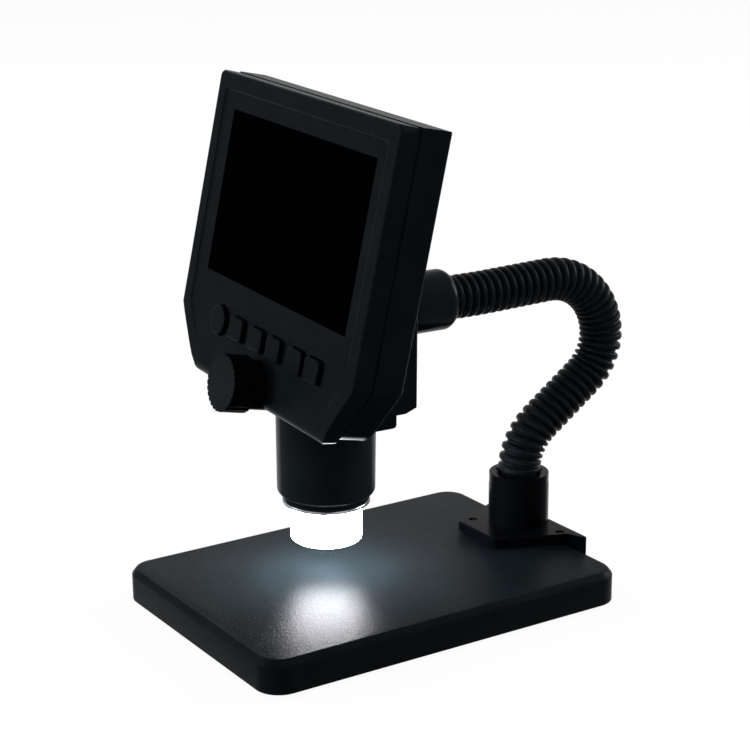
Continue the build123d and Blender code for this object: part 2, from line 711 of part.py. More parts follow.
def button_outline(name, growth):
    """Front view of a button or of the hole round it."""
    if name == "power_button":
        return Pos(POWER_BUTTON_X, -BUTTON_DROP) * Circle(POWER_BUTTON_R + growth)
    key = RectangleRounded(KEY_WIDTH + 2 * growth, KEY_HEIGHT + 2 * growth, KEY_CORNER_R + growth)
    return Pos(BUTTON_PLACES[name], -BUTTON_DROP) * key


BUTTON_PLACES = {
    "power_button": POWER_BUTTON_X,
    "menu_button": MENU_KEY_X,
    "mode_button": MODE_KEY_X,
    "up_button": UP_KEY_X,
    "down_button": DOWN_KEY_X,
    "ok_button": OK_KEY_X,
}
FLANGE_START = FRONT_WALL + SEAT_GAP
FLANGE_END = FLANGE_START + BUTTON_FLANGE
SWITCH_TOP = FLANGE_END + BUTTON_TRAVEL + SWITCH_REST_GAP
KEY_BOARD_FRONT = SWITCH_TOP + SWITCH_HEIGHT
FIRST_BUTTON_X, LAST_BUTTON_X = min(BUTTON_PLACES.values()), max(BUTTON_PLACES.values())
KEY_BOARD_LEFT = FIRST_BUTTON_X - KEY_BOARD_MARGIN
KEY_BOARD_RIGHT = LAST_BUTTON_X + KEY_BOARD_MARGIN
KEY_PILLARS = [FIRST_BUTTON_X - KEY_PILLAR_MARGIN, LAST_BUTTON_X + KEY_PILLAR_MARGIN]


def chin_round():
    """What is cut off the lower front edge to round it."""
    half = FACE_WIDTH / 2
    bar = box(-half, half, -1, CHIN_ROUND_R, -FACE_HEIGHT - 1, CHIN_ROUND_R - FACE_HEIGHT)
    curve = Cylinder(CHIN_ROUND_R, FACE_WIDTH, rotation=(0, 90, 0))
    return bar - Pos(0, CHIN_ROUND_R, CHIN_ROUND_R - FACE_HEIGHT) * curve


def field_outline():
    """Sunk field of the face: bordered at the top and the sides, open at the chin."""
    half = CHIN_HALF - FIELD_BORDER
    return face_outline(FIELD_BORDER) + Pos(0, -FACE_HEIGHT) * Rectangle(2 * half, 2 * CHIN_RISE)


def front_bezel():
    """Front moulding: a sunk field with the window and the buttons, and the knob's hub."""
    bezel = plate_y(face_outline(0), 0, BEZEL_DEPTH)
    bezel = fillet(bezel.edges().group_by(Axis.Y)[0], FRONT_EDGE_R)
    bezel -= plate_y(field_outline(), -1, FIELD_STEP) + chin_round()
    cavity = plate_y(face_outline(SHELL_WALL), FRONT_WALL, BEZEL_DEPTH)
    bezel -= cavity - Pos(0, SHELL_WALL, SHELL_WALL) * chin_round()
    bezel -= plate_y(window_outline(WINDOW_GAP), 0, FIELD_STEP + WINDOW_SINK + WINDOW_THICKNESS)
    bezel -= plate_y(window_outline(-WINDOW_LEDGE), 0, FRONT_WALL)
    bezel += rod_y(HUB_R, -HUB_PROUD, BEZEL_DEPTH, 0, KNOB_Z)
    bezel -= rod_y(SHAFT_BUSH_R + PRESS_GAP, -HUB_PROUD, BEZEL_DEPTH, 0, KNOB_Z)
    for name in BUTTON_PLACES:
        bezel -= plate_y(button_outline(name, BUTTON_GAP), 0, FRONT_WALL)
    for x, z in HOUSING_SCREWS:
        bezel += rod_y(HOUSING_BOSS_R, FRONT_WALL, BEZEL_DEPTH, x, z)
        bezel -= rod_y(SCREW_HOLE_R, FRONT_WALL, BEZEL_DEPTH, x, z)
    for x in KEY_PILLARS:
        bezel += rod_y(KEY_PILLAR_R, FRONT_WALL, KEY_BOARD_FRONT, x, -BUTTON_DROP)
    return bezel


DIMMER_X = DIMMER_R - DIMMER_PROUD - FACE_WIDTH / 2
DIMMER_FRONT = DIMMER_DEPTH - DIMMER_THICKNESS / 2
DIMMER_BACK = DIMMER_DEPTH + DIMMER_THICKNESS / 2
BOARD_BACK = BOARD_DEPTH + BOARD_THICKNESS
BOARD_PILLARS = [
    (side * (BOARD_HALF - BOARD_PILLAR_INSET), z)
    for side in (-1, 1)
    for z in (-BOARD_TOP - BOARD_PILLAR_INSET, BOARD_LOW + BOARD_PILLAR_INSET)
]
SHELL_LEFT = -FACE_WIDTH / 2
NECK_HOLE_R = BARREL_NECK_R + GUIDE_CLEARANCE


def slab_outside():
    slab = plate_y(face_outline(0), BEZEL_DEPTH, SLAB_DEPTH)
    return fillet(slab.edges().group_by(Axis.Y)[-1], REAR_EDGE_R)


def hump_outside():
    """Hump on the slab's back and the lower block round the barrel's top."""
    half = HUMP_HALF
    hump = box(-half, half, HUMP_FRONT_Y, HUMP_BACK_Y, HUMP_BOTTOM_Z, HUMP_TOP_Z)
    back = hump.faces().sort_by(Axis.Y)[-1]
    hump = fillet(back.edges(), HUMP_EDGE_R)
    block = box(-half, half, BLOCK_FRONT_Y, BLOCK_BACK_Y, BLOCK_BOTTOM_Z, HUMP_BOTTOM_Z + SHELL_WALL)
    block = fillet(block.edges().group_by(Axis.Z)[0], BLOCK_EDGE_R)
    low = HUMP_BOTTOM_Z - HUMP_LIP_DROP
    lip = [(HUMP_BACK_Y - HUMP_EDGE_R, HUMP_BOTTOM_Z), (HUMP_LIP_Y, low), (0, low), (0, HUMP_BOTTOM_Z)]
    return hump + block + extrude(Plane.YZ * Polygon(*lip, align=None), half, both=True)


def side_slot(drop, height, front, back):
    """Opening through the slab's left wall."""
    low = -drop - height / 2
    return box(SHELL_LEFT - 1, SHELL_LEFT + SHELL_WALL + 1, front, back, low, low + height)


def rear_shell():
    """Rear moulding: slab, hump and lower block, hollow, with pillars, bosses and side openings."""
    hub = rod_y(HUB_R, BEZEL_DEPTH, HUB_BACK, 0, KNOB_Z)
    shell = FACE * (slab_outside() + hub) + hump_outside()
    shell -= FACE * plate_y(face_outline(SHELL_WALL), -1, BACK_WALL)
    inner = HUMP_HALF - SHELL_WALL
    floor = HUMP_BOTTOM_Z + SHELL_WALL
    shell -= box(-inner, inner, HUMP_FRONT_Y, HUMP_INNER_Y, floor, HUMP_TOP_Z - SHELL_WALL)
    shell -= post_z(BARREL_TOP_R + BARREL_FIT, BLOCK_BOTTOM_Z, HUMP_BOTTOM_Z, 0, BARREL_Y)
    shell -= post_z(NECK_HOLE_R, HUMP_BOTTOM_Z, BARREL_NECK_TOP_Z, 0, BARREL_Y)
    shell -= rod_y(SLEEVE_R + SLEEVE_FIT, HUMP_INNER_Y, HUMP_BACK_Y)
    fittings = Part()
    for x, z in HOUSING_SCREWS:
        fittings += rod_y(HOUSING_BOSS_R, BEZEL_DEPTH, BACK_WALL, x, z)
    for x, z in BOARD_PILLARS:
        fittings += rod_y(BOARD_PILLAR_R, BOARD_BACK, BACK_WALL, x, z)
    fittings += rod_y(DIMMER_PILLAR_R, DIMMER_BACK + DIMMER_GAP, BACK_WALL, DIMMER_X, -DIMMER_DROP)
    shell += FACE * fittings
    cuts = rod_y(HUB_CHAMBER_R, BEZEL_DEPTH, HUB_BACK, 0, KNOB_Z)
    head_seat = SLAB_DEPTH - HOUSING_SCREW_SINK - SCREW_HEAD_HEIGHT
    for x, z in HOUSING_SCREWS:
        cuts += rod_y(SCREW_HOLE_R, BEZEL_DEPTH, SLAB_DEPTH, x, z)
        cuts += rod_y(HEAD_HOLE_R, head_seat, SLAB_DEPTH, x, z)
    cuts += rod_y(DIMMER_AXLE_R + PRESS_GAP, DIMMER_BACK, BACK_WALL, DIMMER_X, -DIMMER_DROP)
    slot_half = sqrt(DIMMER_R**2 - (DIMMER_R - DIMMER_PROUD - SHELL_WALL) ** 2) + DIMMER_SLOT_GAP
    front, back = DIMMER_FRONT - DIMMER_SLOT_GAP, DIMMER_BACK + DIMMER_SLOT_GAP
    cuts += side_slot(DIMMER_DROP, 2 * slot_half, front, back)
    for share, width, height in ((USB_SHARE, USB_WIDTH, USB_HEIGHT), (CARD_SHARE, CARD_WIDTH, CARD_HEIGHT)):
        front, back = BOARD_BACK + SEAT_GAP, BOARD_BACK + SEAT_GAP + height
        opening = width + 2 * SOCKET_GAP
        cuts += side_slot(share * FACE_HEIGHT, opening, front - SOCKET_GAP, back + SOCKET_GAP)
    return shell - FACE * cuts


def socket(share, width, height, depth):
    """Metal socket on the board's rear, open towards the left side."""
    drop = share * FACE_HEIGHT
    front = BOARD_BACK + SEAT_GAP
    mouth = SHELL_LEFT + SOCKET_SINK
    body = box(mouth, mouth + depth, front, front + height, -drop - width / 2, -drop + width / 2)
    wall = SOCKET_WALL
    low, high = -drop - width / 2 + wall, -drop + width / 2 - wall
    return body - box(mouth, mouth + depth - wall, front + wall, front + height - wall, low, high)


def tact_switch(x):
    """Key switch with the well that a button's stem presses in."""
    half = SWITCH_SIZE / 2
    body = box(x - half, x + half, SWITCH_TOP, KEY_BOARD_FRONT, -BUTTON_DROP - half, -BUTTON_DROP + half)
    return body - rod_y(STEM_R + STEM_GAP, SWITCH_TOP, KEY_BOARD_FRONT, x, -BUTTON_DROP)


def button(name, x):
    """Cap with its retaining flange and the stem behind it."""
    front = FIELD_STEP - BUTTON_PROUD
    cap = plate_y(button_outline(name, 0), front, FLANGE_START)
    cap = chamfer(cap.edges().group_by(Axis.Y)[0], BUTTON_EDGE)
    cap += plate_y(button_outline(name, BUTTON_FLANGE_GROWTH), FLANGE_START, FLANGE_END)
    return cap + rod_y(STEM_R, FLANGE_END, FLANGE_END + STEM_LENGTH, x, -BUTTON_DROP)


def lcd_panel():
    return plate_y(window_outline(LCD_BORDER), LCD_FRONT, LCD_FRONT + LCD_THICKNESS)


def screen_window():
    front = FIELD_STEP + WINDOW_SINK
    return plate_y(window_outline(0), front, front + WINDOW_THICKNESS)


def main_board():
    return box(-BOARD_HALF, BOARD_HALF, BOARD_DEPTH, BOARD_BACK, BOARD_LOW, -BOARD_TOP)


def battery():
    front = BOARD_BACK + BATTERY_TAPE
    outline = RectangleRounded(BATTERY_WIDTH, BATTERY_HEIGHT, BATTERY_CORNER_R)
    return plate_y(Pos(0, -BATTERY_TOP - BATTERY_HEIGHT / 2) * outline, front, front + BATTERY_THICKNESS)


def key_board():
    back = KEY_BOARD_FRONT + KEY_BOARD_THICKNESS
    low = -BUTTON_DROP - KEY_BOARD_HEIGHT / 2
    return box(KEY_BOARD_LEFT, KEY_BOARD_RIGHT, KEY_BOARD_FRONT, back, low, low + KEY_BOARD_HEIGHT)


def housing_screw(x, z):
    top = SLAB_DEPTH - HOUSING_SCREW_SINK
    return Pos(x, top, z) * Rot(-90, 0, 0) * pan_screw(HOUSING_SCREW_LENGTH)


save_face("front_bezel", front_bezel())
save_head("rear_shell", rear_shell())
save_face("housing_screws", *[housing_screw(x, z) for x, z in HOUSING_SCREWS])
save_face("screen_window", screen_window())
save_face("lcd_panel", lcd_panel())
save_face("main_board", main_board())
save_face("battery", battery())
save_face("key_board", key_board())
save_face("tact_switches", *[tact_switch(x) for x in BUTTON_PLACES.values()])
for name, x in BUTTON_PLACES.items():
    save_face(name, button(name, x))
save_face("usb_socket", socket(USB_SHARE, USB_WIDTH, USB_HEIGHT, USB_DEPTH))
save_face("card_socket", socket(CARD_SHARE, CARD_WIDTH, CARD_HEIGHT, CARD_DEPTH))


# ---- dimmer wheel --------------------------------------------------------------------------
def notched_wheel(radius, count, notch_r):
    """Round outline with a ring of half-round notches."""
    outline = Circle(radius)
    outline -= PolarLocations(radius, count) * Circle(notch_r)
    return outline


def dimmer_wheel():
    wheel = plate_y(notched_wheel(DIMMER_R, DIMMER_NOTCH_COUNT, DIMMER_NOTCH_R), DIMMER_FRONT, DIMMER_BACK)
    wheel -= rod_y(DIMMER_AXLE_R + SHAFT_CLEARANCE, DIMMER_FRONT, DIMMER_BACK)
    return Pos(DIMMER_X, 0, -DIMMER_DROP) * wheel


def dimmer_axle():
    """Fixed pin in the rear shell's pillar; its cap keeps the wheel on."""
    cap_back = DIMMER_FRONT - SEAT_GAP
    axle = rod_y(DIMMER_AXLE_CAP_R, cap_back - DIMMER_AXLE_CAP, cap_back, DIMMER_X, -DIMMER_DROP)
    return axle + rod_y(DIMMER_AXLE_R, cap_back, BACK_WALL, DIMMER_X, -DIMMER_DROP)


save_face("dimmer_wheel", dimmer_wheel())
save_face("dimmer_axle", dimmer_axle())

# ---- focus drive ---------------------------------------------------------------------------
PITCH_R = PINION_TOOTH_COUNT * GEAR_MODULE / 2
TOOTH_PITCH = pi * GEAR_MODULE
KNOB_BACK = KNOB_LENGTH - KNOB_PROUD
CLIP_FRONT = SHAFT_BUSH_LENGTH - HUB_PROUD + SEAT_GAP


def focus_knob():
    """Fluted knob, its front face turned to the user."""
    outline = notched_wheel(KNOB_R, KNOB_FLUTE_COUNT, KNOB_FLUTE_R)
    knob = plate_y(outline, -KNOB_PROUD, KNOB_BACK)
    knob &= chamfer(rod_y(KNOB_R, -KNOB_PROUD, KNOB_BACK).edges(), KNOB_EDGE)
    knob -= rod_y(SHAFT_R + PRESS_GAP, KNOB_BACK - SHAFT_IN_KNOB, KNOB_BACK)
    return Pos(0, 0, KNOB_Z) * knob


def involute_flank(outer_r):
    """Points up one tooth flank, from the root to outer_r, on the +X side of a tooth space."""
    base_r = PITCH_R * cos(radians(PRESSURE_ANGLE))
    root_r = PITCH_R - RACK_ADDENDUM - GEAR_ROOT_GAP
    space_half = (TOOTH_PITCH / 2 + BACKLASH / 2) / (2 * PITCH_R)

    def roll(radius):
        ratio = sqrt(max(radius**2 / base_r**2 - 1, 0))
        return ratio - atan(ratio)

    points = [(root_r, space_half - roll(PITCH_R))]
    for share in (0.0, 0.35, 0.7, 1.0):
        radius = base_r + share * (outer_r - base_r)
        points.append((radius, space_half - roll(PITCH_R) + roll(radius)))
    return points


def pinion_outline():
    """Small gear with a tooth space facing +X."""
    outer_r = PITCH_R + PINION_ADDENDUM
    flank = involute_flank(outer_r)
    points = []
    for tooth in range(PINION_TOOTH_COUNT):
        middle = 2 * pi * tooth / PINION_TOOTH_COUNT
        space = [(r, middle - a) for r, a in reversed(flank)] + [(r, middle + a) for r, a in flank]
        points += [(r * cos(a), r * sin(a)) for r, a in space]
    return Polygon(*points, align=None)


def focus_shaft():
    """Shaft from the knob to the pinion cut on its inner end."""
    shaft = rod_y(SHAFT_R, KNOB_BACK - SHAFT_IN_KNOB, PINION_START)
    shaft += plate_y(pinion_outline(), PINION_START, PINION_START + PINION_LENGTH)
    groove = rod_y(SHAFT_R, CLIP_FRONT, CLIP_FRONT + SHAFT_CLIP_THICKNESS)
    groove -= rod_y(SHAFT_GROOVE_R, CLIP_FRONT, CLIP_FRONT + SHAFT_CLIP_THICKNESS)
    return Pos(0, 0, KNOB_Z) * (shaft - groove)


def shaft_clip():
    """Open clip in the shaft's groove, behind the bush."""
    back = CLIP_FRONT + SHAFT_CLIP_THICKNESS
    inner = SHAFT_GROOVE_R + PRESS_GAP
    clip = rod_y(SHAFT_CLIP_R, CLIP_FRONT, back) - rod_y(inner, CLIP_FRONT, back)
    clip -= box(0, SHAFT_CLIP_R, CLIP_FRONT, back, -inner / 2, inner / 2)
    return Pos(0, 0, KNOB_Z) * clip


def shaft_bush():
    end = SHAFT_BUSH_LENGTH - HUB_PROUD
    bush = rod_y(SHAFT_BUSH_R, -HUB_PROUD, end) - rod_y(SHAFT_R + SHAFT_CLEARANCE, -HUB_PROUD, end)
    return Pos(0, 0, KNOB_Z) * bush


def rack_teeth():
    """Comb of rack teeth facing -X, cut along the shaft's direction so that they mesh with it."""
    tip = PITCH_R - RACK_ADDENDUM
    root = PITCH_R + PINION_ADDENDUM + GEAR_ROOT_GAP
    spread = sin(radians(PRESSURE_ANGLE)) / cos(radians(PRESSURE_ANGLE))
    half = TOOTH_PITCH / 4 - BACKLASH / 4
    tip_half = half - RACK_ADDENDUM * spread
    root_half = half + (root - PITCH_R) * spread
    count = int(RACK_LENGTH / TOOTH_PITCH) + 2
    comb = Sketch()
    for tooth in range(-count, count + 1):
        z = tooth * TOOTH_PITCH
        corners = [(tip, z - tip_half), (root, z - root_half), (root, z + root_half), (tip, z + tip_half)]
        comb += Polygon(*corners, align=None)
    comb += Pos(root + RACK_BAR / 2, 0) * Rectangle(RACK_BAR, 2 * count * TOOTH_PITCH)
    return FACE * Pos(0, 0, KNOB_Z) * plate_y(comb, 0, PINION_START + 3 * PINION_LENGTH)


save_face("focus_knob", focus_knob())
save_face("focus_shaft", focus_shaft())
save_face("shaft_clip", shaft_clip())
save_face("shaft_bush", shaft_bush())


# ---- sleeve, barrel and light --------------------------------------------------------------
SLEEVE_BORE_R = SPIGOT_R + SPIGOT_CLEARANCE + BUSH_WALL + PRESS_GAP
SKIRT_BOTTOM_Z = BARREL_BOTTOM_Z - SKIRT_HEIGHT


def neck_sleeve():
    """Smooth sleeve on the hump's back, held by a flange inside it."""
    sleeve = rod_y(SLEEVE_R, FLANGE_FRONT_Y, SLEEVE_END_Y)
    sleeve = fillet(sleeve.edges().group_by(Axis.Y)[-1], SLEEVE_END_ROUND)
    sleeve += rod_y(SLEEVE_FLANGE_R, FLANGE_FRONT_Y, HUMP_INNER_Y)
    return sleeve - rod_y(SLEEVE_BORE_R, FLANGE_FRONT_Y, SLEEVE_END_Y)


def swivel_bush():
    front, back = FLANGE_FRONT_Y + BUSH_INSET, SLEEVE_END_Y - BUSH_INSET
    return rod_y(SLEEVE_BORE_R - PRESS_GAP, front, back) - rod_y(SPIGOT_R + SPIGOT_CLEARANCE, front, back)


def barrel():
    """Tapered tube: its narrow neck sits in the hump's floor and its floor carries the skirt."""
    points = [
        (BARREL_BORE_R, BARREL_NECK_TOP_Z),
        (BARREL_NECK_R, BARREL_NECK_TOP_Z),
        (BARREL_NECK_R, HUMP_BOTTOM_Z),
        (BARREL_TOP_R, HUMP_BOTTOM_Z),
        (BARREL_LOW_R, BARREL_BOTTOM_Z),
        (SKIRT_SEAT_R + PRESS_GAP, BARREL_BOTTOM_Z),
        (SKIRT_SEAT_R + PRESS_GAP, BARREL_FLOOR_Z),
        (BARREL_BORE_R, BARREL_FLOOR_Z),
    ]
    tube = turned(points)
    bottom_edges = tube.edges().filter_by(GeomType.CIRCLE).group_by(Axis.Z)[0]
    tube = fillet(bottom_edges.sort_by(SortBy.RADIUS)[-1], BARREL_BOTTOM_ROUND)
    inner, outer = BARREL_BORE_R - GUIDE_RIB_DEPTH, BARREL_BORE_R + 0.5
    rib = box(-GUIDE_RIB / 2, GUIDE_RIB / 2, inner, outer, BARREL_FLOOR_Z, GUIDE_RIB_TOP_Z)
    tube = Pos(0, BARREL_Y, 0) * (tube + rib)
    return tube - FACE * rod_y(PINION_HOLE_R, 0, PINION_START + PINION_LENGTH, 0, KNOB_Z)


def barrel_skirt():
    """Ring under the barrel, pressed into its floor."""
    points = [
        (SKIRT_BORE_R, SKIRT_BOTTOM_Z),
        (SKIRT_R, SKIRT_BOTTOM_Z),
        (SKIRT_R, BARREL_BOTTOM_Z),
        (SKIRT_SEAT_R, BARREL_BOTTOM_Z),
        (SKIRT_SEAT_R, SKIRT_BOTTOM_Z + SKIRT_SPIGOT),
        (SKIRT_BORE_R, SKIRT_BOTTOM_Z + SKIRT_SPIGOT),
    ]
    return turned(points, BARREL_Y)


def rim_ring():
    inner, outer = DIFFUSER_R + RIM_GAP, RIM_R
    low, high = SKIRT_BOTTOM_Z - RIM_THICKNESS, SKIRT_BOTTOM_Z
    return turned([(inner, low), (outer, low), (outer, high), (inner, high)], BARREL_Y)


def diffuser():
    """Milky cap round the light ring, open in the middle for the lens."""
    inner = DIFFUSER_R - DIFFUSER_WALL
    lip_top = DIFFUSER_BOTTOM_Z + DIFFUSER_WALL
    points = [
        (DIFFUSER_R, SKIRT_BOTTOM_Z),
        (DIFFUSER_R, DIFFUSER_BOTTOM_Z),
        (DIFFUSER_R - DIFFUSER_LIP, DIFFUSER_BOTTOM_Z),
        (DIFFUSER_R - DIFFUSER_LIP, lip_top),
        (inner, lip_top),
        (inner, SKIRT_BOTTOM_Z),
    ]
    cap = turned(points)
    bottom = cap.edges().filter_by(GeomType.CIRCLE).group_by(Axis.Z)[0]
    cap = fillet(bottom.sort_by(SortBy.RADIUS)[-1], DIFFUSER_EDGE_R)
    return Pos(0, BARREL_Y, 0) * cap


LED_BOARD_Z = SKIRT_BOTTOM_Z - LED_BOARD_THICKNESS
LED_RING_R = (LED_BOARD_R + LED_BOARD_BORE_R) / 2


def led_board():
    low, high = LED_BOARD_Z, SKIRT_BOTTOM_Z
    inner, outer = LED_BOARD_BORE_R, LED_BOARD_R
    return turned([(inner, low), (outer, low), (outer, high), (inner, high)], BARREL_Y)


def leds():
    led = Pos(0, 0, LED_BOARD_Z - LED_HEIGHT / 2) * Box(LED_SIZE, LED_SIZE, LED_HEIGHT)
    return [Pos(0, BARREL_Y, 0) * place * led for place in PolarLocations(LED_RING_R, LED_COUNT)]


save_head("neck_sleeve", neck_sleeve())
save_head("swivel_bush", swivel_bush())
save_head("barrel", barrel())
save_head("barrel_skirt", barrel_skirt())
save_head("rim_ring", rim_ring())
save_head("diffuser", diffuser())
save_head("led_board", led_board())
save_head("leds", *leds())

# ---- lens carriage -------------------------------------------------------------------------
LENS_SHOULDER_Z = CARRIAGE_BOTTOM_Z + LENS_RING_HEIGHT + LENS_EDGE


def lens_carriage():
    """Tube on two guide flanges, with the rack that the pinion drives."""
    tube = post_z(CARRIAGE_R, CARRIAGE_BOTTOM_Z, CARRIAGE_TOP_Z)
    guide_r = BARREL_BORE_R - GUIDE_CLEARANCE
    for low in (CARRIAGE_BOTTOM_Z, CARRIAGE_BOTTOM_Z + GUIDE_SPACING + GUIDE_FLANGE):
        tube += post_z(guide_r, low, low + GUIDE_FLANGE)
    notch = GUIDE_RIB / 2 + GUIDE_CLEARANCE
    notch_y = BARREL_BORE_R - GUIDE_RIB_DEPTH - GUIDE_CLEARANCE
    tube -= box(-notch, notch, notch_y, BARREL_BORE_R, CARRIAGE_BOTTOM_Z, CARRIAGE_TOP_Z)
    tube = Pos(0, BARREL_Y, 0) * tube
    low, high = RACK_MIDDLE_Z - RACK_LENGTH / 2, RACK_MIDDLE_Z + RACK_LENGTH / 2
    bar_start = PITCH_R - RACK_ADDENDUM
    bar_end = PITCH_R + PINION_ADDENDUM + GEAR_ROOT_GAP + RACK_BAR
    bar = box(bar_start, bar_end, RACK_FRONT_Y, RACK_BACK_Y, low, high) & rack_teeth()
    tube += bar
    tube -= post_z(CARRIAGE_BORE_R, CARRIAGE_BOTTOM_Z, LENS_SHOULDER_Z, 0, BARREL_Y)
    tube -= post_z(CARRIAGE_BORE_R - LENS_SHOULDER, CARRIAGE_BOTTOM_Z, CARRIAGE_TOP_Z, 0, BARREL_Y)
    tube -= post_z(CARRIAGE_BORE_R, LENS_SHOULDER_Z + LENS_SHOULDER, CARRIAGE_TOP_Z, 0, BARREL_Y)
    return tube


def objective_lens():
    """Lens against the carriage's shoulder, bulging downwards."""
    low = LENS_SHOULDER_Z - LENS_EDGE
    disc = post_z(LENS_R, low - LENS_EDGE, LENS_SHOULDER_Z)
    centre_z = low + sqrt(LENS_CURVE_R**2 - (LENS_R - LENS_RING_LIP) ** 2)
    return Pos(0, BARREL_Y, 0) * (disc & Pos(0, 0, centre_z) * Sphere(LENS_CURVE_R))


def lens_ring():
    inner, outer = LENS_R - LENS_RING_LIP + SEAT_GAP, CARRIAGE_BORE_R - PRESS_GAP
    low, high = CARRIAGE_BOTTOM_Z, CARRIAGE_BOTTOM_Z + LENS_RING_HEIGHT - SEAT_GAP
    return turned([(inner, low), (outer, low), (outer, high), (inner, high)], BARREL_Y)


def sensor_board():
    half = SENSOR_BOARD / 2
    y = BARREL_Y + SENSOR_BOARD_SHIFT
    return box(-half, half, y - half, y + half, CARRIAGE_TOP_Z, CARRIAGE_TOP_Z + SENSOR_BOARD_THICKNESS)


def image_sensor():
    width, length = SENSOR_WIDTH / 2, SENSOR_LENGTH / 2
    low = CARRIAGE_TOP_Z - SENSOR_HEIGHT
    return box(-width, width, BARREL_Y - length, BARREL_Y + length, low, CARRIAGE_TOP_Z)


save_head("lens_carriage", lens_carriage())
save_head("objective_lens", objective_lens())
save_head("lens_ring", lens_ring())
save_head("sensor_board", sensor_board())
save_head("image_sensor", image_sensor())
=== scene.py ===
"""Looks of the digital microscope: finishes, finer pieces over the CAD frame, light and camera.

Shapes are written in millimetres and turned into metres when a mesh is made. The frame is the
CAD model's: +Z up, the user at -Y, +X on the user's right.
"""
from math import cos, pi, radians, sin, tan

import bmesh
import bpy
from mathutils import Matrix, Vector

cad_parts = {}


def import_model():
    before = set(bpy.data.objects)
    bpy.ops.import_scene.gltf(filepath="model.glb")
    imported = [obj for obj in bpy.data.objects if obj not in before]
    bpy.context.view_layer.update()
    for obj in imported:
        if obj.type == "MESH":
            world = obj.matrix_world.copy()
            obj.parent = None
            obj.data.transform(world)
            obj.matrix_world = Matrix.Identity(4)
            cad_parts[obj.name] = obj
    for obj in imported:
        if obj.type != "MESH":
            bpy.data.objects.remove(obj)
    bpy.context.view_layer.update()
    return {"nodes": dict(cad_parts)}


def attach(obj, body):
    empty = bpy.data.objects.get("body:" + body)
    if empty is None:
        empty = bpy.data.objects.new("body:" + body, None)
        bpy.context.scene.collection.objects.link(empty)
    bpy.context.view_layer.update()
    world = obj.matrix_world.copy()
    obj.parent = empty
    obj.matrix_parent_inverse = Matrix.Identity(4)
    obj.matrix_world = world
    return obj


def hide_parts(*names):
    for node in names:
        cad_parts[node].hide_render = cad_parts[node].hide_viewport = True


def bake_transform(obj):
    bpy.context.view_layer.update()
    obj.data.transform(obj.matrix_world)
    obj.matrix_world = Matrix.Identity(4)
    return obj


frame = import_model()
TO_METRES = Matrix.Scale(0.001, 4)

# ---- places ----------------------------------------------------------------------------------
# The neck and the head stand turned a little about the post, and the head is rolled a little.
ARM_YAW = -2.76
POST_Y = 64.3
POST_TOP_Z = 34.7
# The neck's centre line from the post's top: lengths of its runs, each with its curvature.
NECK_RUNS = [
    (0.06, 0.0),
    (radians(53.25) * 21.76, -1 / 21.76),
    (23.31, 0.0),
    (radians(61.62) * 19.77, 1 / 19.77),
    (radians(83.63) * 23.55, 1 / 23.55),
    (26.0, 0.0),
    (radians(2.0) * 200.0, -1 / 200.0),
    (9.04, 0.0),
]
NECK_LENGTH = sum(length for length, bend in NECK_RUNS)
# Ribs on each link of the neck, from the post to the sleeve.
RIB_COUNTS = [3] + 7 * [5] + [7]
RIB_PITCH = NECK_LENGTH / sum(RIB_COUNTS)
SLEEVE_END_Y = 55.5
HEAD_ROLL = 1.24
TILT = 12.0
FACE_TOP_Z = 75.7
BARREL_Y = 7.08


def shift(x, y, z):
    return Matrix.Translation((x, y, z))


def station(distance):
    """Y, Z and heading on the neck's centre line, at a distance from the post's top."""
    y, z, heading = 0.0, POST_TOP_Z, pi / 2
    for length, bend in NECK_RUNS:
        step = min(distance, length)
        turn = bend * step
        if bend:
            y += (sin(heading + turn) - sin(heading)) / bend
            z -= (cos(heading + turn) - cos(heading)) / bend
        else:
            y += step * cos(heading)
            z += step * sin(heading)
        heading += turn
        distance -= step
    return y, z, heading


WORLD = Matrix.Identity(4)
ARM = shift(0, POST_Y, 0) @ Matrix.Rotation(radians(ARM_YAW), 4, "Z")
NECK_END_Y, NECK_END_Z = station(NECK_LENGTH)[:2]
HEAD = ARM @ shift(0, NECK_END_Y - SLEEVE_END_Y, NECK_END_Z) @ Matrix.Rotation(radians(HEAD_ROLL), 4, "Y")
BARREL = HEAD @ shift(0, BARREL_Y, 0)
# In the face's frame X is right, Y up the face from its top edge and Z out of it.
FACE = HEAD @ shift(0, 0, FACE_TOP_Z) @ Matrix.Rotation(radians(90 - TILT), 4, "X")


# ---- finishes --------------------------------------------------------------------------------
# Sizes of the patterns in millimetres.
MELT_CLOUD = 13.0
HANDLING_SCUFF = 2.4
PLATE_CLOUD = 3.0
PLATE_WEAR = 0.9
LAMP_PATCH = 5.0
DIFFUSER_SKIN = 0.8
SMUDGE = 20.0
GLASS_WAVE = 28.0
# Depth of the waves on a diffuser's skin and on glass.
WAVE_DEPTH = 0.004
# Values of a noise between which a pattern goes from its one end to the other.
CLOUD_SPREAD = (0.3, 0.7)
SCUFF_SPREAD = (0.25, 0.75)
# Changes that the patterns make to a roughness: shares of it on plastic and glass, plain on metal.
SCUFF_CHANGE = 0.07
SMUDGE_CHANGE = 0.5
PLATE_CHANGE = 0.08
# Shares of facing away between which a lit cap grows brighter.
GLOW_GROWS = (0.05, 0.6)
# Shares of facing away, from 0 face on to 1 edge on, between which a plastic's gloss grows, and
# those between which it is lost in the shadow of its own grain.
GLOSS_GROWS = (0.6, 0.82)
GLOSS_FADES = (0.9, 1.0)


def colour(code):
    """Linear colour from an sRGB hex code."""
    parts = [int(code[i : i + 2], 16) / 255 for i in (0, 2, 4)]
    return tuple(c / 12.92 if c <= 0.04045 else ((c + 0.055) / 1.055) ** 2.4 for c in parts) + (1.0,)


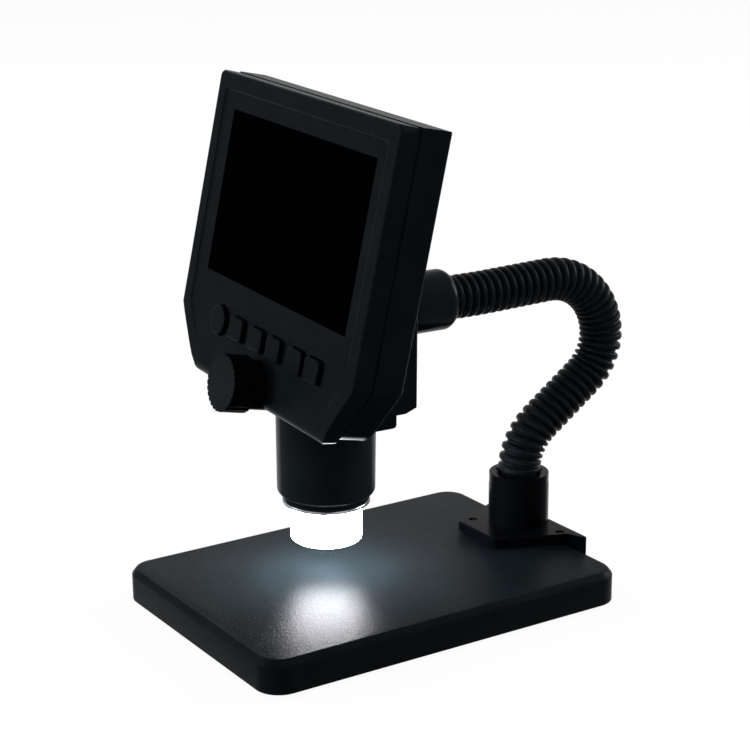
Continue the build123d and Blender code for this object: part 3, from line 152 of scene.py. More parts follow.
def fit(node, inputs):
    """Sets a node's inputs; a socket among the values is linked in instead."""
    for key, value in inputs.items():
        if isinstance(value, bpy.types.NodeSocket):
            node.id_data.links.new(value, node.inputs[key])
        else:
            node.inputs[key].default_value = value
    return node


def add(tree, kind, inputs, **settings):
    """Adds a node with its settings, values and links."""
    node = tree.nodes.new("ShaderNode" + kind)
    for key, value in settings.items():
        setattr(node, key, value)
    return fit(node, inputs)


def spread(ends):
    """A Map Range node's input range."""
    return {"From Min": ends[0], "From Max": ends[1]}


def start_finish(name):
    """New material: its tree, its shader, and Object coordinates in millimetres."""
    material = bpy.data.materials.new(name)
    material.use_nodes = True
    tree = material.node_tree
    place = add(tree, "TexCoord", {}).outputs["Object"]
    millimetres = add(tree, "VectorMath", {0: place, "Scale": 1000.0}, operation="SCALE").outputs[0]
    return material, tree, tree.nodes["Principled BSDF"], millimetres


def moulded(name, dark, light, rough, gloss, grazing, grain=0.4, depth=0.02):
    """Injection-moulded plastic: faint clouds of colour, handling scuffs in its roughness and the
    spark-eroded grain of the mould, drawn a little coarser than it is so that it shows. Its
    gloss grows where it is seen along the grain's peaks."""
    material, tree, shader, place = start_finish(name)
    cloud = add(tree, "TexNoise", {"Vector": place, "Scale": 1 / MELT_CLOUD, "Detail": 3.0})
    share = add(tree, "MapRange", {"Value": cloud.outputs["Fac"]} | spread(CLOUD_SPREAD))
    shade = {0: share.outputs["Result"], 6: colour(dark), 7: colour(light)}
    shade = add(tree, "Mix", shade, data_type="RGBA").outputs[2]
    scuff = {"Vector": place, "Scale": 1 / HANDLING_SCUFF, "Detail": 4.0, "Roughness": 0.7}
    worn = {"Value": add(tree, "TexNoise", scuff).outputs["Fac"]} | spread(SCUFF_SPREAD)
    worn |= {"To Min": rough * (1 - SCUFF_CHANGE), "To Max": rough * (1 + SCUFF_CHANGE)}
    worn = add(tree, "MapRange", worn)
    facing = add(tree, "LayerWeight", {}).outputs["Facing"]
    grown = {"Value": facing} | spread(GLOSS_GROWS)
    grown = add(tree, "MapRange", grown | {"To Min": gloss, "To Max": grazing}).outputs["Result"]
    kept = {"Value": facing} | spread(GLOSS_FADES)
    kept = add(tree, "MapRange", kept | {"To Min": grown, "To Max": 0.0})
    pits = add(tree, "TexNoise", {"Vector": place, "Scale": 1 / grain, "Detail": 2.0, "Roughness": 0.6})
    bump = add(tree, "Bump", {"Strength": 1.0, "Distance": depth / 1000, "Height": pits.outputs["Fac"]})
    fit(shader, {"Base Color": shade, "Roughness": worn.outputs["Result"], "Normal": bump.outputs["Normal"]})
    fit(shader, {"Specular IOR Level": kept.outputs["Result"]})
    return material


def metal(name, dark, light, rough, grain=0.4, depth=0.004):
    """Metal with a rolled or plated skin: cloudy reflection and a fine tooth."""
    material, tree, shader, place = start_finish(name)
    cloud = add(tree, "TexNoise", {"Vector": place, "Scale": 1 / PLATE_CLOUD, "Detail": 3.0})
    share = add(tree, "MapRange", {"Value": cloud.outputs["Fac"]} | spread(CLOUD_SPREAD))
    shade = {0: share.outputs["Result"], 6: colour(dark), 7: colour(light)}
    shade = add(tree, "Mix", shade, data_type="RGBA").outputs[2]
    wear = add(tree, "TexNoise", {"Vector": place, "Scale": 1 / PLATE_WEAR, "Detail": 3.0})
    gloss = {"Value": wear.outputs["Fac"], "To Min": rough - PLATE_CHANGE, "To Max": rough + PLATE_CHANGE}
    gloss = add(tree, "MapRange", gloss).outputs["Result"]
    tooth = add(tree, "TexNoise", {"Vector": place, "Scale": 1 / grain, "Detail": 2.0})
    bump = add(tree, "Bump", {"Distance": depth / 1000, "Height": tooth.outputs["Fac"]})
    fit(shader, {"Base Color": shade, "Roughness": gloss, "Normal": bump.outputs["Normal"], "Metallic": 1.0})
    return material


def glowing(name, tint, strength, edge, patchy):
    """Translucent plastic lit from inside, a little patchy, and brighter along its edges, where
    the eye looks through more of the wall."""
    material, tree, shader, place = start_finish(name)
    cloud = add(tree, "TexNoise", {"Vector": place, "Scale": 1 / LAMP_PATCH, "Detail": 2.0})
    even = {"Value": cloud.outputs["Fac"], "To Min": 1 - patchy, "To Max": 1 + patchy}
    even = add(tree, "MapRange", even).outputs["Result"]
    rim = {"Value": add(tree, "LayerWeight", {}).outputs["Facing"]} | spread(GLOW_GROWS)
    rim = add(tree, "MapRange", rim | {"To Min": strength, "To Max": strength * edge}).outputs["Result"]
    glow = add(tree, "Math", {0: even, 1: rim}, operation="MULTIPLY").outputs[0]
    hue = {0: cloud.outputs["Fac"], 6: colour(tint), 7: colour("ffffff")}
    hue = add(tree, "Mix", hue, data_type="RGBA").outputs[2]
    skin = add(tree, "TexNoise", {"Vector": place, "Scale": 1 / DIFFUSER_SKIN})
    bump = add(tree, "Bump", {"Distance": WAVE_DEPTH / 1000, "Height": skin.outputs["Fac"]})
    fit(shader, {"Base Color": colour("f2f4f6"), "Roughness": 0.45, "Normal": bump.outputs["Normal"]})
    fit(shader, {"Emission Color": hue, "Emission Strength": glow})
    return material


def glass(name, tint, rough, specular, clear=0.0):
    """Polished window or lens: smudges change its gloss, and it isn't quite flat."""
    material, tree, shader, place = start_finish(name)
    smudge = add(tree, "TexNoise", {"Vector": place, "Scale": 1 / SMUDGE, "Detail": 4.0})
    gloss = {"To Min": rough * (1 - SMUDGE_CHANGE), "To Max": rough * (1 + SMUDGE_CHANGE)}
    gloss = add(tree, "MapRange", gloss | {"Value": smudge.outputs["Fac"]}).outputs["Result"]
    wave = add(tree, "TexNoise", {"Vector": place, "Scale": 1 / GLASS_WAVE})
    bump = add(tree, "Bump", {"Distance": WAVE_DEPTH / 1000, "Height": wave.outputs["Fac"]})
    fit(shader, {"Base Color": colour(tint), "Roughness": gloss, "Normal": bump.outputs["Normal"]})
    fit(shader, {"Specular IOR Level": specular, "Transmission Weight": clear, "IOR": 1.52})
    return material


# The spark-eroded mould leaves fine pits: soft and matt face on, silvery along the top and edges.
HEAD_ABS = moulded("spark-grained black ABS", "0d1215", "111619", 0.42, 0.005, 0.07, 0.5, 0.08)
# The base's grain is a little coarser, so a lamp shows in it as a soft patch with a sandy edge.
BASE_ABS = moulded("satin black ABS plate", "0a0f11", "0e1316", 0.3, 0.013, 0.01, 0.6, 0.12)
# The barrel's mould is stoned, not sparked: an even satin without grain, with bright sides.
BARREL_ABS = moulded("satin black barrel ABS", "11171a", "161c1f", 0.4, 0.01, 0.15, 0.4, 0.01)
# The post's mould is smoother still: deep black, and a little lighter along its edges.
POST_ABS = moulded("semi-gloss black post ABS", "020305", "040507", 0.26, 0.008, 0.1, 0.5, 0.01)
# The sleeve comes from a polished mould: the smoothest moulding, with a line of light at its end.
SLEEVE_ABS = moulded("glossy black sleeve ABS", "0d1114", "11151a", 0.14, 0.025, 0.03, 0.6, 0.004)
# Corrugated PVC tube: satin, with soft lines of light on the ribs.
NECK_PVC = moulded("black PVC neck cover", "0a0e11", "0e1215", 0.34, 0.02, 0.06, 0.4, 0.01)
# The fronts of keys and knob are etched to a satin that hides finger marks.
KEY_ABS = moulded("satin black key ABS", "0c1114", "101518", 0.45, 0.006, 0.1, 0.4, 0.01)
KNOB_ABS = moulded("satin black knob ABS", "11161a", "151a1e", 0.45, 0.008, 0.05, 0.4, 0.01)
# Their sides leave the mould along bare polished walls, and are coloured darker than the fronts: painted
# shade for the shadow on them.
POLISHED_ABS_PAINTED_SHADE = moulded("mould-polished black ABS with painted shade", "040507", "060709", 0.3, 0.004, 0.03, 0.4, 0.004)
# Pressed rubber is matt all over, and a little dusty.
FOOT_RUBBER = moulded("matt black rubber", "0c0d0e", "111213", 0.8, 0.02, 0.05, 0.5, 0.03)
# Turned and plated: a narrow mirror round the barrel.
RIM_CHROME = metal("bright turned rim", "7c8084", "9a9ea2", 0.2, 0.6, 0.002)
# Acetal is slippery and waxy, with a soft shine.
BUSH_ACETAL = moulded("natural acetal", "c4c2b8", "cfcdc4", 0.4, 0.4, 0.5)
CARRIAGE_ACETAL = moulded("black acetal", "17181a", "1d1e20", 0.45, 0.1, 0.3)
# A cured lacquer over copper: even green with a wet shine.
SOLDER_MASK = moulded("green solder mask", "0c5a30", "10693a", 0.35, 0.4, 0.5)
# Laminated foil is bright and slightly wrinkled.
POUCH_FOIL = metal("silver pouch foil", "b2b4b8", "c6c8cc", 0.35, 1.2, 0.03)
# Rolling leaves sheet a cloudy grey.
ROLLED_STEEL = metal("rolled steel sheet", "84868a", "9a9ca0", 0.42)
# Zinc plate is pale and half bright, and nearly black once it is passivated black.
SCREW_ZINC = metal("zinc-plated steel", "a8aaac", "bcbec0", 0.32)
BLACK_ZINC = metal("black zinc-plated steel", "141618", "1c1e20", 0.4)
# Nickel plate over a pressed shell stays bright.
NICKEL = metal("bright nickel plate", "c2c4c6", "d2d4d6", 0.2)
# Dyed anodising leaves turned aluminium dark, with a metal's soft highlight.
BLACK_ANODISE = metal("black anodised aluminium", "2c2d30", "3a3b3e", 0.38)
# Milky polycarbonate spreads the light of the diodes until the whole cap glows.
DIFFUSER_PC = glowing("milky diffuser polycarbonate", "f6f4ff", 62.0, 1.7, 0.1)
# Phosphor under clear resin: cold white, and the brightest thing on the object.
LED_WHITE = glowing("lit white LED", "eef2ff", 120.0, 1.0, 0.05)
# Cast acrylic, printed black behind: deeper than any moulded black beside it.
SCREEN_ACRYLIC = glass("black screen acrylic", "000001", 0.12, 0.0004)
# Polished and coated, with a faint blue in it.
LENS_GLASS = glass("coated lens glass", "c8dcf0", 0.02, 0.5, 1.0)
NODE_FINISHES = {
    BASE_ABS: ["base_shell", "base_cover"],
    ROLLED_STEEL: ["ballast_plate", "swivel_clip", "dimmer_axle", "focus_shaft", "shaft_clip"],
    FOOT_RUBBER: ["base_feet", "post_pad"],
    SCREW_ZINC: ["cover_screws", "housing_screws"],
    BLACK_ZINC: ["post_screws"],
    POST_ABS: ["post", "post_collar"],
    NECK_PVC: [f"neck_link_{number}" for number in range(1, 10)],
    HEAD_ABS: ["front_bezel", "rear_shell"],
    SCREEN_ACRYLIC: ["screen_window", "lcd_panel", "image_sensor"],
    SOLDER_MASK: ["main_board", "key_board", "led_board", "sensor_board"],
    POUCH_FOIL: ["battery"],
    NICKEL: ["tact_switches", "usb_socket", "card_socket"],
    KEY_ABS: ["power_button", "menu_button", "mode_button", "up_button", "down_button", "ok_button"],
    KNOB_ABS: ["focus_knob", "dimmer_wheel"],
    BUSH_ACETAL: ["shaft_bush", "swivel_bush"],
    SLEEVE_ABS: ["neck_sleeve"],
    BARREL_ABS: ["barrel", "barrel_skirt"],
    RIM_CHROME: ["rim_ring"],
    DIFFUSER_PC: ["diffuser"],
    LED_WHITE: ["leds"],
    CARRIAGE_ACETAL: ["lens_carriage"],
    LENS_GLASS: ["objective_lens"],
    BLACK_ANODISE: ["lens_ring"],
}
for finish, names in NODE_FINISHES.items():
    for name in names:
        frame["nodes"][name].data.materials.clear()
        frame["nodes"][name].data.materials.append(finish)


# ---- mesh helpers ----------------------------------------------------------------------------
def finished(name, bm, place, finish, sharp=35.0):
    """Object from millimetre geometry at a place in the frame, smooth up to a sharp angle."""
    bmesh.ops.recalc_face_normals(bm, faces=bm.faces)
    mesh = bpy.data.meshes.new(name)
    bm.to_mesh(mesh)
    bm.free()
    mesh.transform(TO_METRES @ place)
    mesh.polygons.foreach_set("use_smooth", [True] * len(mesh.polygons))
    mesh.set_sharp_from_angle(angle=radians(sharp))
    mesh.materials.append(finish)
    made = bpy.data.objects.new(name, mesh)
    bpy.context.scene.collection.objects.link(made)
    return made


def round_edges(bm, edges, offset, segments):
    bmesh.ops.bevel(
        bm, geom=edges, offset=offset, offset_type="OFFSET", affect="EDGES", segments=segments,
        profile=0.5, material=-1,
    )


def facing(bm, height):
    """Faces that look along Z, the way that height's sign says."""
    bm.normal_update()
    return [face for face in bm.faces if face.normal.z * height > 0.9]


def block(width, length, low, high, corner, segments):
    """Upright block with rounded corners in plan."""
    bm = bmesh.new()
    size = Matrix.Diagonal((width, length, high - low, 1.0))
    bmesh.ops.create_cube(bm, size=1.0, matrix=shift(0, 0, (low + high) / 2) @ size)
    uprights = [edge for edge in bm.edges if abs(edge.verts[0].co.z - edge.verts[1].co.z) > 0.1]
    round_edges(bm, uprights, corner, segments)
    return bm


def disc(radius, low, high, segments):
    bm = bmesh.new()
    bmesh.ops.create_cone(
        bm, cap_ends=True, segments=segments, radius1=radius, radius2=radius, depth=high - low,
        matrix=shift(0, 0, (low + high) / 2),
    )
    return bm


def round_front(bm, offset, segments):
    """Rounds the edges all about the front face of a block or disc."""
    round_edges(bm, [edge for face in facing(bm, 1) for edge in face.edges], offset, segments)


def turned(profile, steps=96):
    """Closed profile of (radius, z) points spun about Z."""
    bm = bmesh.new()
    verts = [bm.verts.new((radius, 0, z)) for radius, z in profile]
    edges = [bm.edges.new(pair) for pair in zip(verts, verts[1:] + verts[:1])]
    axis, centre = (0, 0, 1), (0, 0, 0)
    bmesh.ops.spin(bm, geom=verts + edges, axis=axis, cent=centre, angle=2 * pi, steps=steps, use_merge=True)
    return bm


def quarter(radius, x, z, steps=6):
    """Points of a quarter arc in a profile, from its outermost point down to its lowest."""
    angles = [radians(-90 * k / steps) for k in range(steps + 1)]
    return [(x + radius * cos(a), z + radius * sin(a)) for a in angles]


def ring_edges(bm, ring):
    return [bm.edges.get(pair) for pair in zip(ring, ring[1:] + ring[:1])]


def skin(bm, outlines):
    """Extrudes a ring of edges from each outline to the next. Gives its first and last ring."""
    ring = [bm.verts.new(point) for point in outlines[0]]
    first = ring
    for pair in zip(ring, ring[1:] + ring[:1]):
        bm.edges.new(pair)
    for outline in outlines[1:]:
        made = bmesh.ops.extrude_edge_only(bm, edges=ring_edges(bm, ring))["geom"]
        fresh = {part for part in made if isinstance(part, bmesh.types.BMVert)}
        ahead = [{edge.other_vert(vert) for edge in vert.link_edges} & fresh for vert in ring]
        ring = [found.pop() for found in ahead]
        for vert, point in zip(ring, outline):
            vert.co = point
    return first, ring


def fill(bm, rings):
    """Flat face inside the first ring and outside the others."""
    edges = [edge for ring in rings for edge in ring_edges(bm, ring)]
    bmesh.ops.triangle_fill(bm, edges=edges, use_beauty=True)


# ---- base --------------------------------------------------------------------------------------
BASE_WIDTH = 103.0
BASE_LENGTH = 142.5
BASE_HEIGHT = 11.7
BASE_CORNER_R = 8.8
BASE_EDGE_R = 0.4
BEVEL_INSET = 1.7
BEVEL_DROP = 2.1
BASE_WALL = 2.6


def base_piece():
    """Base with a bevelled top, its edges a little worn round, and a hollow underside."""
    bm = block(BASE_WIDTH, BASE_LENGTH, 0.0, BASE_HEIGHT - BEVEL_DROP, BASE_CORNER_R, 10)
    bmesh.ops.inset_region(bm, faces=facing(bm, 1), thickness=BEVEL_INSET, depth=BEVEL_DROP)
    for height in (BASE_HEIGHT - BEVEL_DROP, BASE_HEIGHT, 0.0):
        rim = [edge for edge in bm.edges if all(abs(vert.co.z - height) < 0.01 for vert in edge.verts)]
        round_edges(bm, rim, BASE_EDGE_R, 3)
    under = facing(bm, -1)
    bmesh.ops.inset_region(bm, faces=under, thickness=BASE_WALL)
    roof = bmesh.ops.extrude_face_region(bm, geom=under)["geom"]
    bmesh.ops.delete(bm, geom=under, context="FACES")
    lifted = [part for part in roof if isinstance(part, bmesh.types.BMVert)]
    bmesh.ops.translate(bm, verts=lifted, vec=(0, 0, BASE_HEIGHT - BASE_WALL))
    tray = finished("base_tray", bm, WORLD, BASE_ABS, 25)
    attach(tray, "stand")
    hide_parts("base_shell")


base_piece()

# ---- gooseneck -----------------------------------------------------------------------------------
CREST_R = 7.78
GROOVE_R = 6.4
# Half a convolution from groove to crest: share of the pitch from its middle, share of its height.
RIB_SIDE = [(0.5, 0.0), (0.43, 0.02), (0.38, 0.14), (0.33, 0.44), (0.28, 0.72), (0.2, 0.92), (0.08, 1.0)]
# A whole one, without the groove behind it, where the next one starts.
RIB_SHAPE = [(-t, share) for t, share in RIB_SIDE[1:]] + [(t, share) for t, share in reversed(RIB_SIDE[1:])]
LINK_STARTS = [sum(RIB_COUNTS[:n]) * RIB_PITCH for n in range(len(RIB_COUNTS) + 1)]
COVER_COUNT = 8
# The covers part this many ribs into a link; the places this many ribs on each side of a joint are worked
# out, but nothing is done with them.
RIBS_TO_SPLIT = 3
RIBS_TO_BEND = 1.5
NECK_SEGMENTS = 56
REACH_INTO_COLLAR = 6.0
REACH_INTO_SLEEVE = 20.0


def section(distance, radius):
    """Circle across the neck."""
    y, z, heading = station(distance)
    place = shift(0, y, z) @ Matrix.Rotation(heading - pi / 2, 4, "X")
    angles = [2 * pi * k / NECK_SEGMENTS for k in range(NECK_SEGMENTS)]
    return [place @ Vector((radius * cos(angle), radius * sin(angle), 0)) for angle in angles]


def neck_piece(number):
    """Convoluted cover over one joint, from a groove in one link to a groove in the next."""
    first, last = number == 1, number == COVER_COUNT
    start = 0.0 if first else LINK_STARTS[number - 1] + RIBS_TO_SPLIT * RIB_PITCH
    end = NECK_LENGTH if last else LINK_STARTS[number] + RIBS_TO_SPLIT * RIB_PITCH
    sections = [section(start, GROOVE_R)]
    for rib in range(round((end - start) / RIB_PITCH)):
        middle = start + (rib + 0.5) * RIB_PITCH
        for t, share in RIB_SHAPE:
            sections.append(section(middle + t * RIB_PITCH, GROOVE_R + (CREST_R - GROOVE_R) * share))
    sections.append(section(end, GROOVE_R))
    if first:
        sections.insert(0, [shift(0, 0, -REACH_INTO_COLLAR) @ point for point in sections[0]])
    if last:
        sections.append([shift(0, -REACH_INTO_SLEEVE, 0) @ point for point in sections[-1]])
    bm = bmesh.new()
    for ring in skin(bm, sections):
        bmesh.ops.edgeloop_fill(bm, edges=ring_edges(bm, ring))
    cover = finished(f"neck_cover_{number}", bm, ARM, NECK_PVC, 70)
    for away in (-RIBS_TO_BEND, RIBS_TO_BEND):
        y, z, heading = station(LINK_STARTS[number] + away * RIB_PITCH)
    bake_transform(cover)
    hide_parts(f"neck_link_{number}")
    if last:
        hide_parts("neck_link_9")


for number in range(1, COVER_COUNT + 1):
    neck_piece(number)

# ---- screen housing ----------------------------------------------------------------------------
FACE_WIDTH = 122.6
FACE_HEIGHT = 104.2
CHIN_RISE = 21.2
CHIN_HALF = FACE_WIDTH / 2 - 15.2
# Corner rounds down each side of the face: top corner, start of the slant, chin corner.
CORNER_RADII = [2.5, 1.5, 3.0]
EDGE_R = 0.9
EDGE_STEPS = 6
SLANT_EDGE_R = 0.5
CHIN_EDGE_R = 0.05
CHIN_ROUND_RUN = 7.5
CHIN_ROUND_DROP = 2.6
# Distances down the face over which one edge turns into the next, and the field's border fades.
SLANT_BEGINS = (81.0, 85.0)
CHIN_BEGINS = (99.0, 102.5)
BORDER_FADES = (84.0, 101.0)
BEZEL_DEPTH = 7.5
BEZEL_DRAFT = 0.3
BEZEL_WALL = 2.0
FRONT_WALL = 2.5
SEAM = 0.3
SEAM_INSET = 1.0
# Rings across the border of the field, which carry the chin's round.
BORDER_RINGS = (0.95, 1.3, 1.8, 2.5, 3.4, 4.4, 5.3)
FIELD_BORDER = 5.9
FIELD_DEPTH = 0.5
FIELD_CORNER_R = 2.0
# Corner rounds shrink with the inset down to the smallest, and from here inwards are the field's.
SMALLEST_R = 0.3
FIELD_ROUNDS_FROM = 5.0
# The soft step down to the field: distances about the border's width, and shares of the depth.
FIELD_STEP = ((-0.3, 0.0), (-0.15, 0.15), (0.0, 0.5), (0.15, 0.85), (0.3, 1.0), (0.8, 1.0))
WINDOW_X, WINDOW_Y = 1.4, -40.1
WINDOW_WIDTH, WINDOW_HEIGHT = 97.8, 56.2
WINDOW_CORNER_R = 0.5
WINDOW_GAP = 0.1
PANE_SUNK = 0.3
PANE_THICKNESS = 0.8
# Every opening has a narrow flat about it.
OPENING_FLAT = 0.3
KEY_Y = -82.7
KEYS = {"menu_button": -17.0, "mode_button": -2.7, "up_button": 10.0, "down_button": 24.8, "ok_button": 36.4}
KEY_WIDTH, KEY_HEIGHT = 9.0, 7.4
KEY_CORNER_R = 1.1
KEY_GAP = 0.5
KEY_TOP = 1.3
KEY_BOTTOM = -2.6
KEY_EDGE_R = 0.3
KEY_FLAT = 0.2
POWER_X = -30.5
POWER_R = 5.0
KNOB_Y = -97.3
HUB_R = 8.4
HUB_TOP = 3.3
HUB_EDGE_R = 0.3
KNOB_R = 9.7
KNOB_BACK = 3.7
KNOB_FRONT = 12.3
FLUTE_COUNT = 28
# Depth of a flute, as shares, at evenly spaced places round one pitch of the knob.
FLUTE_SHAPE = [0.0, 0.0, 0.05, 0.5, 1.0, 0.5, 0.05, 0.0]
FLUTE_DEPTH = 0.6


def ease(value, start, end):
    """0 before the start, 1 after the end, and a smooth rise between them."""
    t = min(max((value - start) / (end - start), 0.0), 1.0)
    return t * t * (3 - 2 * t)


def moved_in(corners, inset):
    """Corners of a convex outline after each side has moved inwards by the same distance."""
    moved = []
    for i, corner in enumerate(corners):
        first = (corner - corners[i - 1]).normalized()
        second = (corners[(i + 1) % len(corners)] - corner).normalized()
        inward = Vector((-first.y, first.x)) + Vector((-second.y, second.x))
        moved.append(corner + inward * inset / (1 + first.dot(second)))
    return moved


def face_outline(inset, steps=8, splits=6):
    """Anticlockwise outline of the face, or one inside it, always with the same number of points."""
    half = FACE_WIDTH / 2
    left = [Vector((-half, 0)), Vector((-half, CHIN_RISE - FACE_HEIGHT)), Vector((-CHIN_HALF, -FACE_HEIGHT))]
    corners = moved_in(left + [Vector((-p.x, p.y)) for p in reversed(left)], inset)
    radii = CORNER_RADII + CORNER_RADII[::-1]
    smallest = FIELD_CORNER_R if inset > FIELD_ROUNDS_FROM else SMALLEST_R
    outline = []
    for i, corner in enumerate(corners):
        before = (corners[i - 1] - corner).normalized()
        after = (corners[(i + 1) % len(corners)] - corner).normalized()
        half_angle = before.angle(after) / 2
        radius = max(radii[i] - inset, smallest)
        centre = corner + (before + after).normalized() * radius / sin(half_angle)
        arm = corner + before * radius / tan(half_angle) - centre
        turn = (pi - 2 * half_angle) / steps
        outline += [centre + Matrix.Rotation(turn * k, 2) @ arm for k in range(steps + 1)]
    dense = []
    for i, point in enumerate(outline):
        after = outline[(i + 1) % len(outline)]
        count = 1 if (i + 1) % (steps + 1) else splits
        dense += [point.lerp(after, k / count) for k in range(count)]
    return dense


def at_heights(outline, heights):
    return [(point.x, point.y, height) for point, height in zip(outline, heights)]


def round_outline(x, y, radius, steps=48):
    angles = [2 * pi * k / steps for k in range(steps)]
    return [Vector((x + radius * cos(angle), y + radius * sin(angle))) for angle in angles]


def box_outline(x, y, width, height, radius, steps=6):
    points = []
    for side, (a, b) in enumerate([(1, 1), (-1, 1), (-1, -1), (1, -1)]):
        centre = Vector((x + a * (width / 2 - radius), y + b * (height / 2 - radius)))
        angles = [pi / 2 * (side + k / steps) for k in range(steps + 1)]
        points += [centre + radius * Vector((cos(angle), sin(angle))) for angle in angles]
    return points


def window_outline(grow):
    width, height = WINDOW_WIDTH + 2 * grow, WINDOW_HEIGHT + 2 * grow
    return box_outline(WINDOW_X, WINDOW_Y, width, height, WINDOW_CORNER_R + grow)


def power_outline(grow):
    return round_outline(POWER_X, KEY_Y, POWER_R + KEY_GAP + grow)


def key_outline(x, grow):
    gap = KEY_GAP + grow
    return box_outline(x, KEY_Y, KEY_WIDTH + 2 * gap, KEY_HEIGHT + 2 * gap, KEY_CORNER_R + gap)


def chin_drop(y):
    """How far the round along the chin's lower edge takes the front back, at a place on the face."""
    share = min(max(1 - (y + FACE_HEIGHT) / CHIN_ROUND_RUN, 0.0), 1.0)
    return CHIN_ROUND_DROP * (1 - (1 - share**2) ** 0.5)


def bezel_piece():
    """Front moulding with draft on its sides, so that the shell behind stands a little proud of
    it, except below the chin, which reaches lower than the shell: a field sunk behind a border
    that fades out down the slants, and a round along the chin's lower edge that the slants cut
    off sharply."""
    outer = face_outline(0.0)
    front = [-FIELD_DEPTH * ease(-point.y, *BORDER_FADES) for point in outer]
    radii = []
    for point in outer:
        slanted = EDGE_R + (SLANT_EDGE_R - EDGE_R) * ease(-point.y, *SLANT_BEGINS)
        radii.append(slanted + (CHIN_EDGE_R - slanted) * ease(-point.y, *CHIN_BEGINS))

    def level(insets, heights):
        """Ring at its own inset and height in each place, taken back by the chin's round."""
        choices = {inset: face_outline(inset) for inset in set(insets)}
        points = [choices[inset][i] for i, inset in enumerate(insets)]
        return at_heights(points, [height - chin_drop(p.y) for p, height in zip(points, heights)])

    back = SEAM - BEZEL_DEPTH
    lip = [(BEZEL_WALL, -FRONT_WALL), (BEZEL_WALL, back - SEAM), (SEAM_INSET, back - SEAM)]
    lip += [(SEAM_INSET, back), (BEZEL_DRAFT, back)]
    levels = [at_heights(face_outline(inset), [height] * len(outer)) for inset, height in lip]
    for k in range(EDGE_STEPS + 1):
        angle = pi / 2 * k / EDGE_STEPS
        insets = [round(r * (1 - cos(angle)), 3) for r in radii]
        levels.append(level(insets, [f - r * (1 - sin(angle)) for f, r in zip(front, radii)]))
    for inset in BORDER_RINGS:
        levels.append(level([inset] * len(outer), front))
    for away, share in FIELD_STEP:
        sunk = [f - (FIELD_DEPTH + f) * share for f in front]
        levels.append(level([FIELD_BORDER + away] * len(outer), sunk))
    bm = bmesh.new()
    inside, field = skin(bm, levels)
    fronts, backs = [field], [inside]
    outlines = [window_outline, power_outline]
    outlines += [lambda grow, x=x: key_outline(x, grow) for x in KEYS.values()]
    for outline in outlines:
        wall = []
        for grow, height in ((OPENING_FLAT, -FIELD_DEPTH), (0.0, -FIELD_DEPTH), (0.0, -FRONT_WALL)):
            wall.append([(point.x, point.y, height) for point in outline(grow)])
        mouth, rear = skin(bm, wall)
        fronts.append(mouth)
        backs.append(rear)
    fill(bm, fronts)
    fill(bm, backs)
    bezel = finished("bezel_moulding", bm, FACE, HEAD_ABS, 40)
    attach(bezel, "head")
    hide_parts("front_bezel")


def window_piece():
    """Acrylic pane, sunk a little below the field."""
    width, height = WINDOW_WIDTH - 2 * WINDOW_GAP, WINDOW_HEIGHT - 2 * WINDOW_GAP
    top = -FIELD_DEPTH - PANE_SUNK
    bm = block(width, height, top - PANE_THICKNESS, top, WINDOW_CORNER_R, 3)
    place = FACE @ shift(WINDOW_X, WINDOW_Y, 0)
    pane = finished("screen_pane", bm, place, SCREEN_ACRYLIC)
    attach(pane, "head")
    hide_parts("screen_window")


def polish_and_shade_sides(made):
    """Gives the sides the bare gloss of a polished mould and a darker colour, which is painted shade; only
    the front is grained.
    """
    out_of_face = FACE.col[2].to_3d()
    # The sides' darker colour is painted shade.
    made.data.materials.append(POLISHED_ABS_PAINTED_SHADE)
    for polygon in made.data.polygons:
        polygon.material_index = 1 if polygon.normal.dot(out_of_face) < 0.5 else 0


def hub_piece():
    """Hub under the knob, in one moulding with the bezel."""
    bm = disc(HUB_R, SEAM - BEZEL_DEPTH, HUB_TOP, 64)
    round_front(bm, HUB_EDGE_R, 2)
    hub = finished("knob_hub", bm, FACE @ shift(0, KNOB_Y, 0), HEAD_ABS)
    polish_and_shade_sides(hub)
    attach(hub, "head")
    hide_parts("front_bezel")


def key_piece(name, bm, x):
    """Flat key cap with a small round all about its face."""
    round_front(bm, KEY_EDGE_R, 3)
    bmesh.ops.inset_region(bm, faces=facing(bm, 1), thickness=KEY_FLAT)
    cap = finished(name + "_cap", bm, FACE @ shift(x, KEY_Y, 0), KEY_ABS, 40)
    polish_and_shade_sides(cap)
    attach(cap, name)
    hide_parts(name)


def knob_piece():
    """Knob with thin flutes round its side and a plain flat face."""
    count = FLUTE_COUNT * len(FLUTE_SHAPE)
    bm = disc(KNOB_R, KNOB_BACK, KNOB_FRONT, count)
    for vert in bm.verts:
        place = round(Vector((vert.co.x, vert.co.y)).angle_signed(Vector((1, 0))) / (2 * pi) * count)
        depth = FLUTE_DEPTH * FLUTE_SHAPE[place % len(FLUTE_SHAPE)]
        vert.co.xy *= 1 - depth / KNOB_R
    bmesh.ops.inset_region(bm, faces=facing(bm, 1), thickness=FLUTE_DEPTH, depth=0.0)
    knob = finished("knob_cap", bm, FACE @ shift(0, KNOB_Y, 0), KNOB_ABS, 30)
    polish_and_shade_sides(knob)
    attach(knob, "focus_drive")
    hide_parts("focus_knob")


bezel_piece()
window_piece()
hub_piece()
key_piece("power_button", disc(POWER_R, KEY_BOTTOM, KEY_TOP, 64), POWER_X)
for name, x in KEYS.items():
    key_piece(name, block(KEY_WIDTH, KEY_HEIGHT, KEY_BOTTOM, KEY_TOP, KEY_CORNER_R, 6), x)
knob_piece()

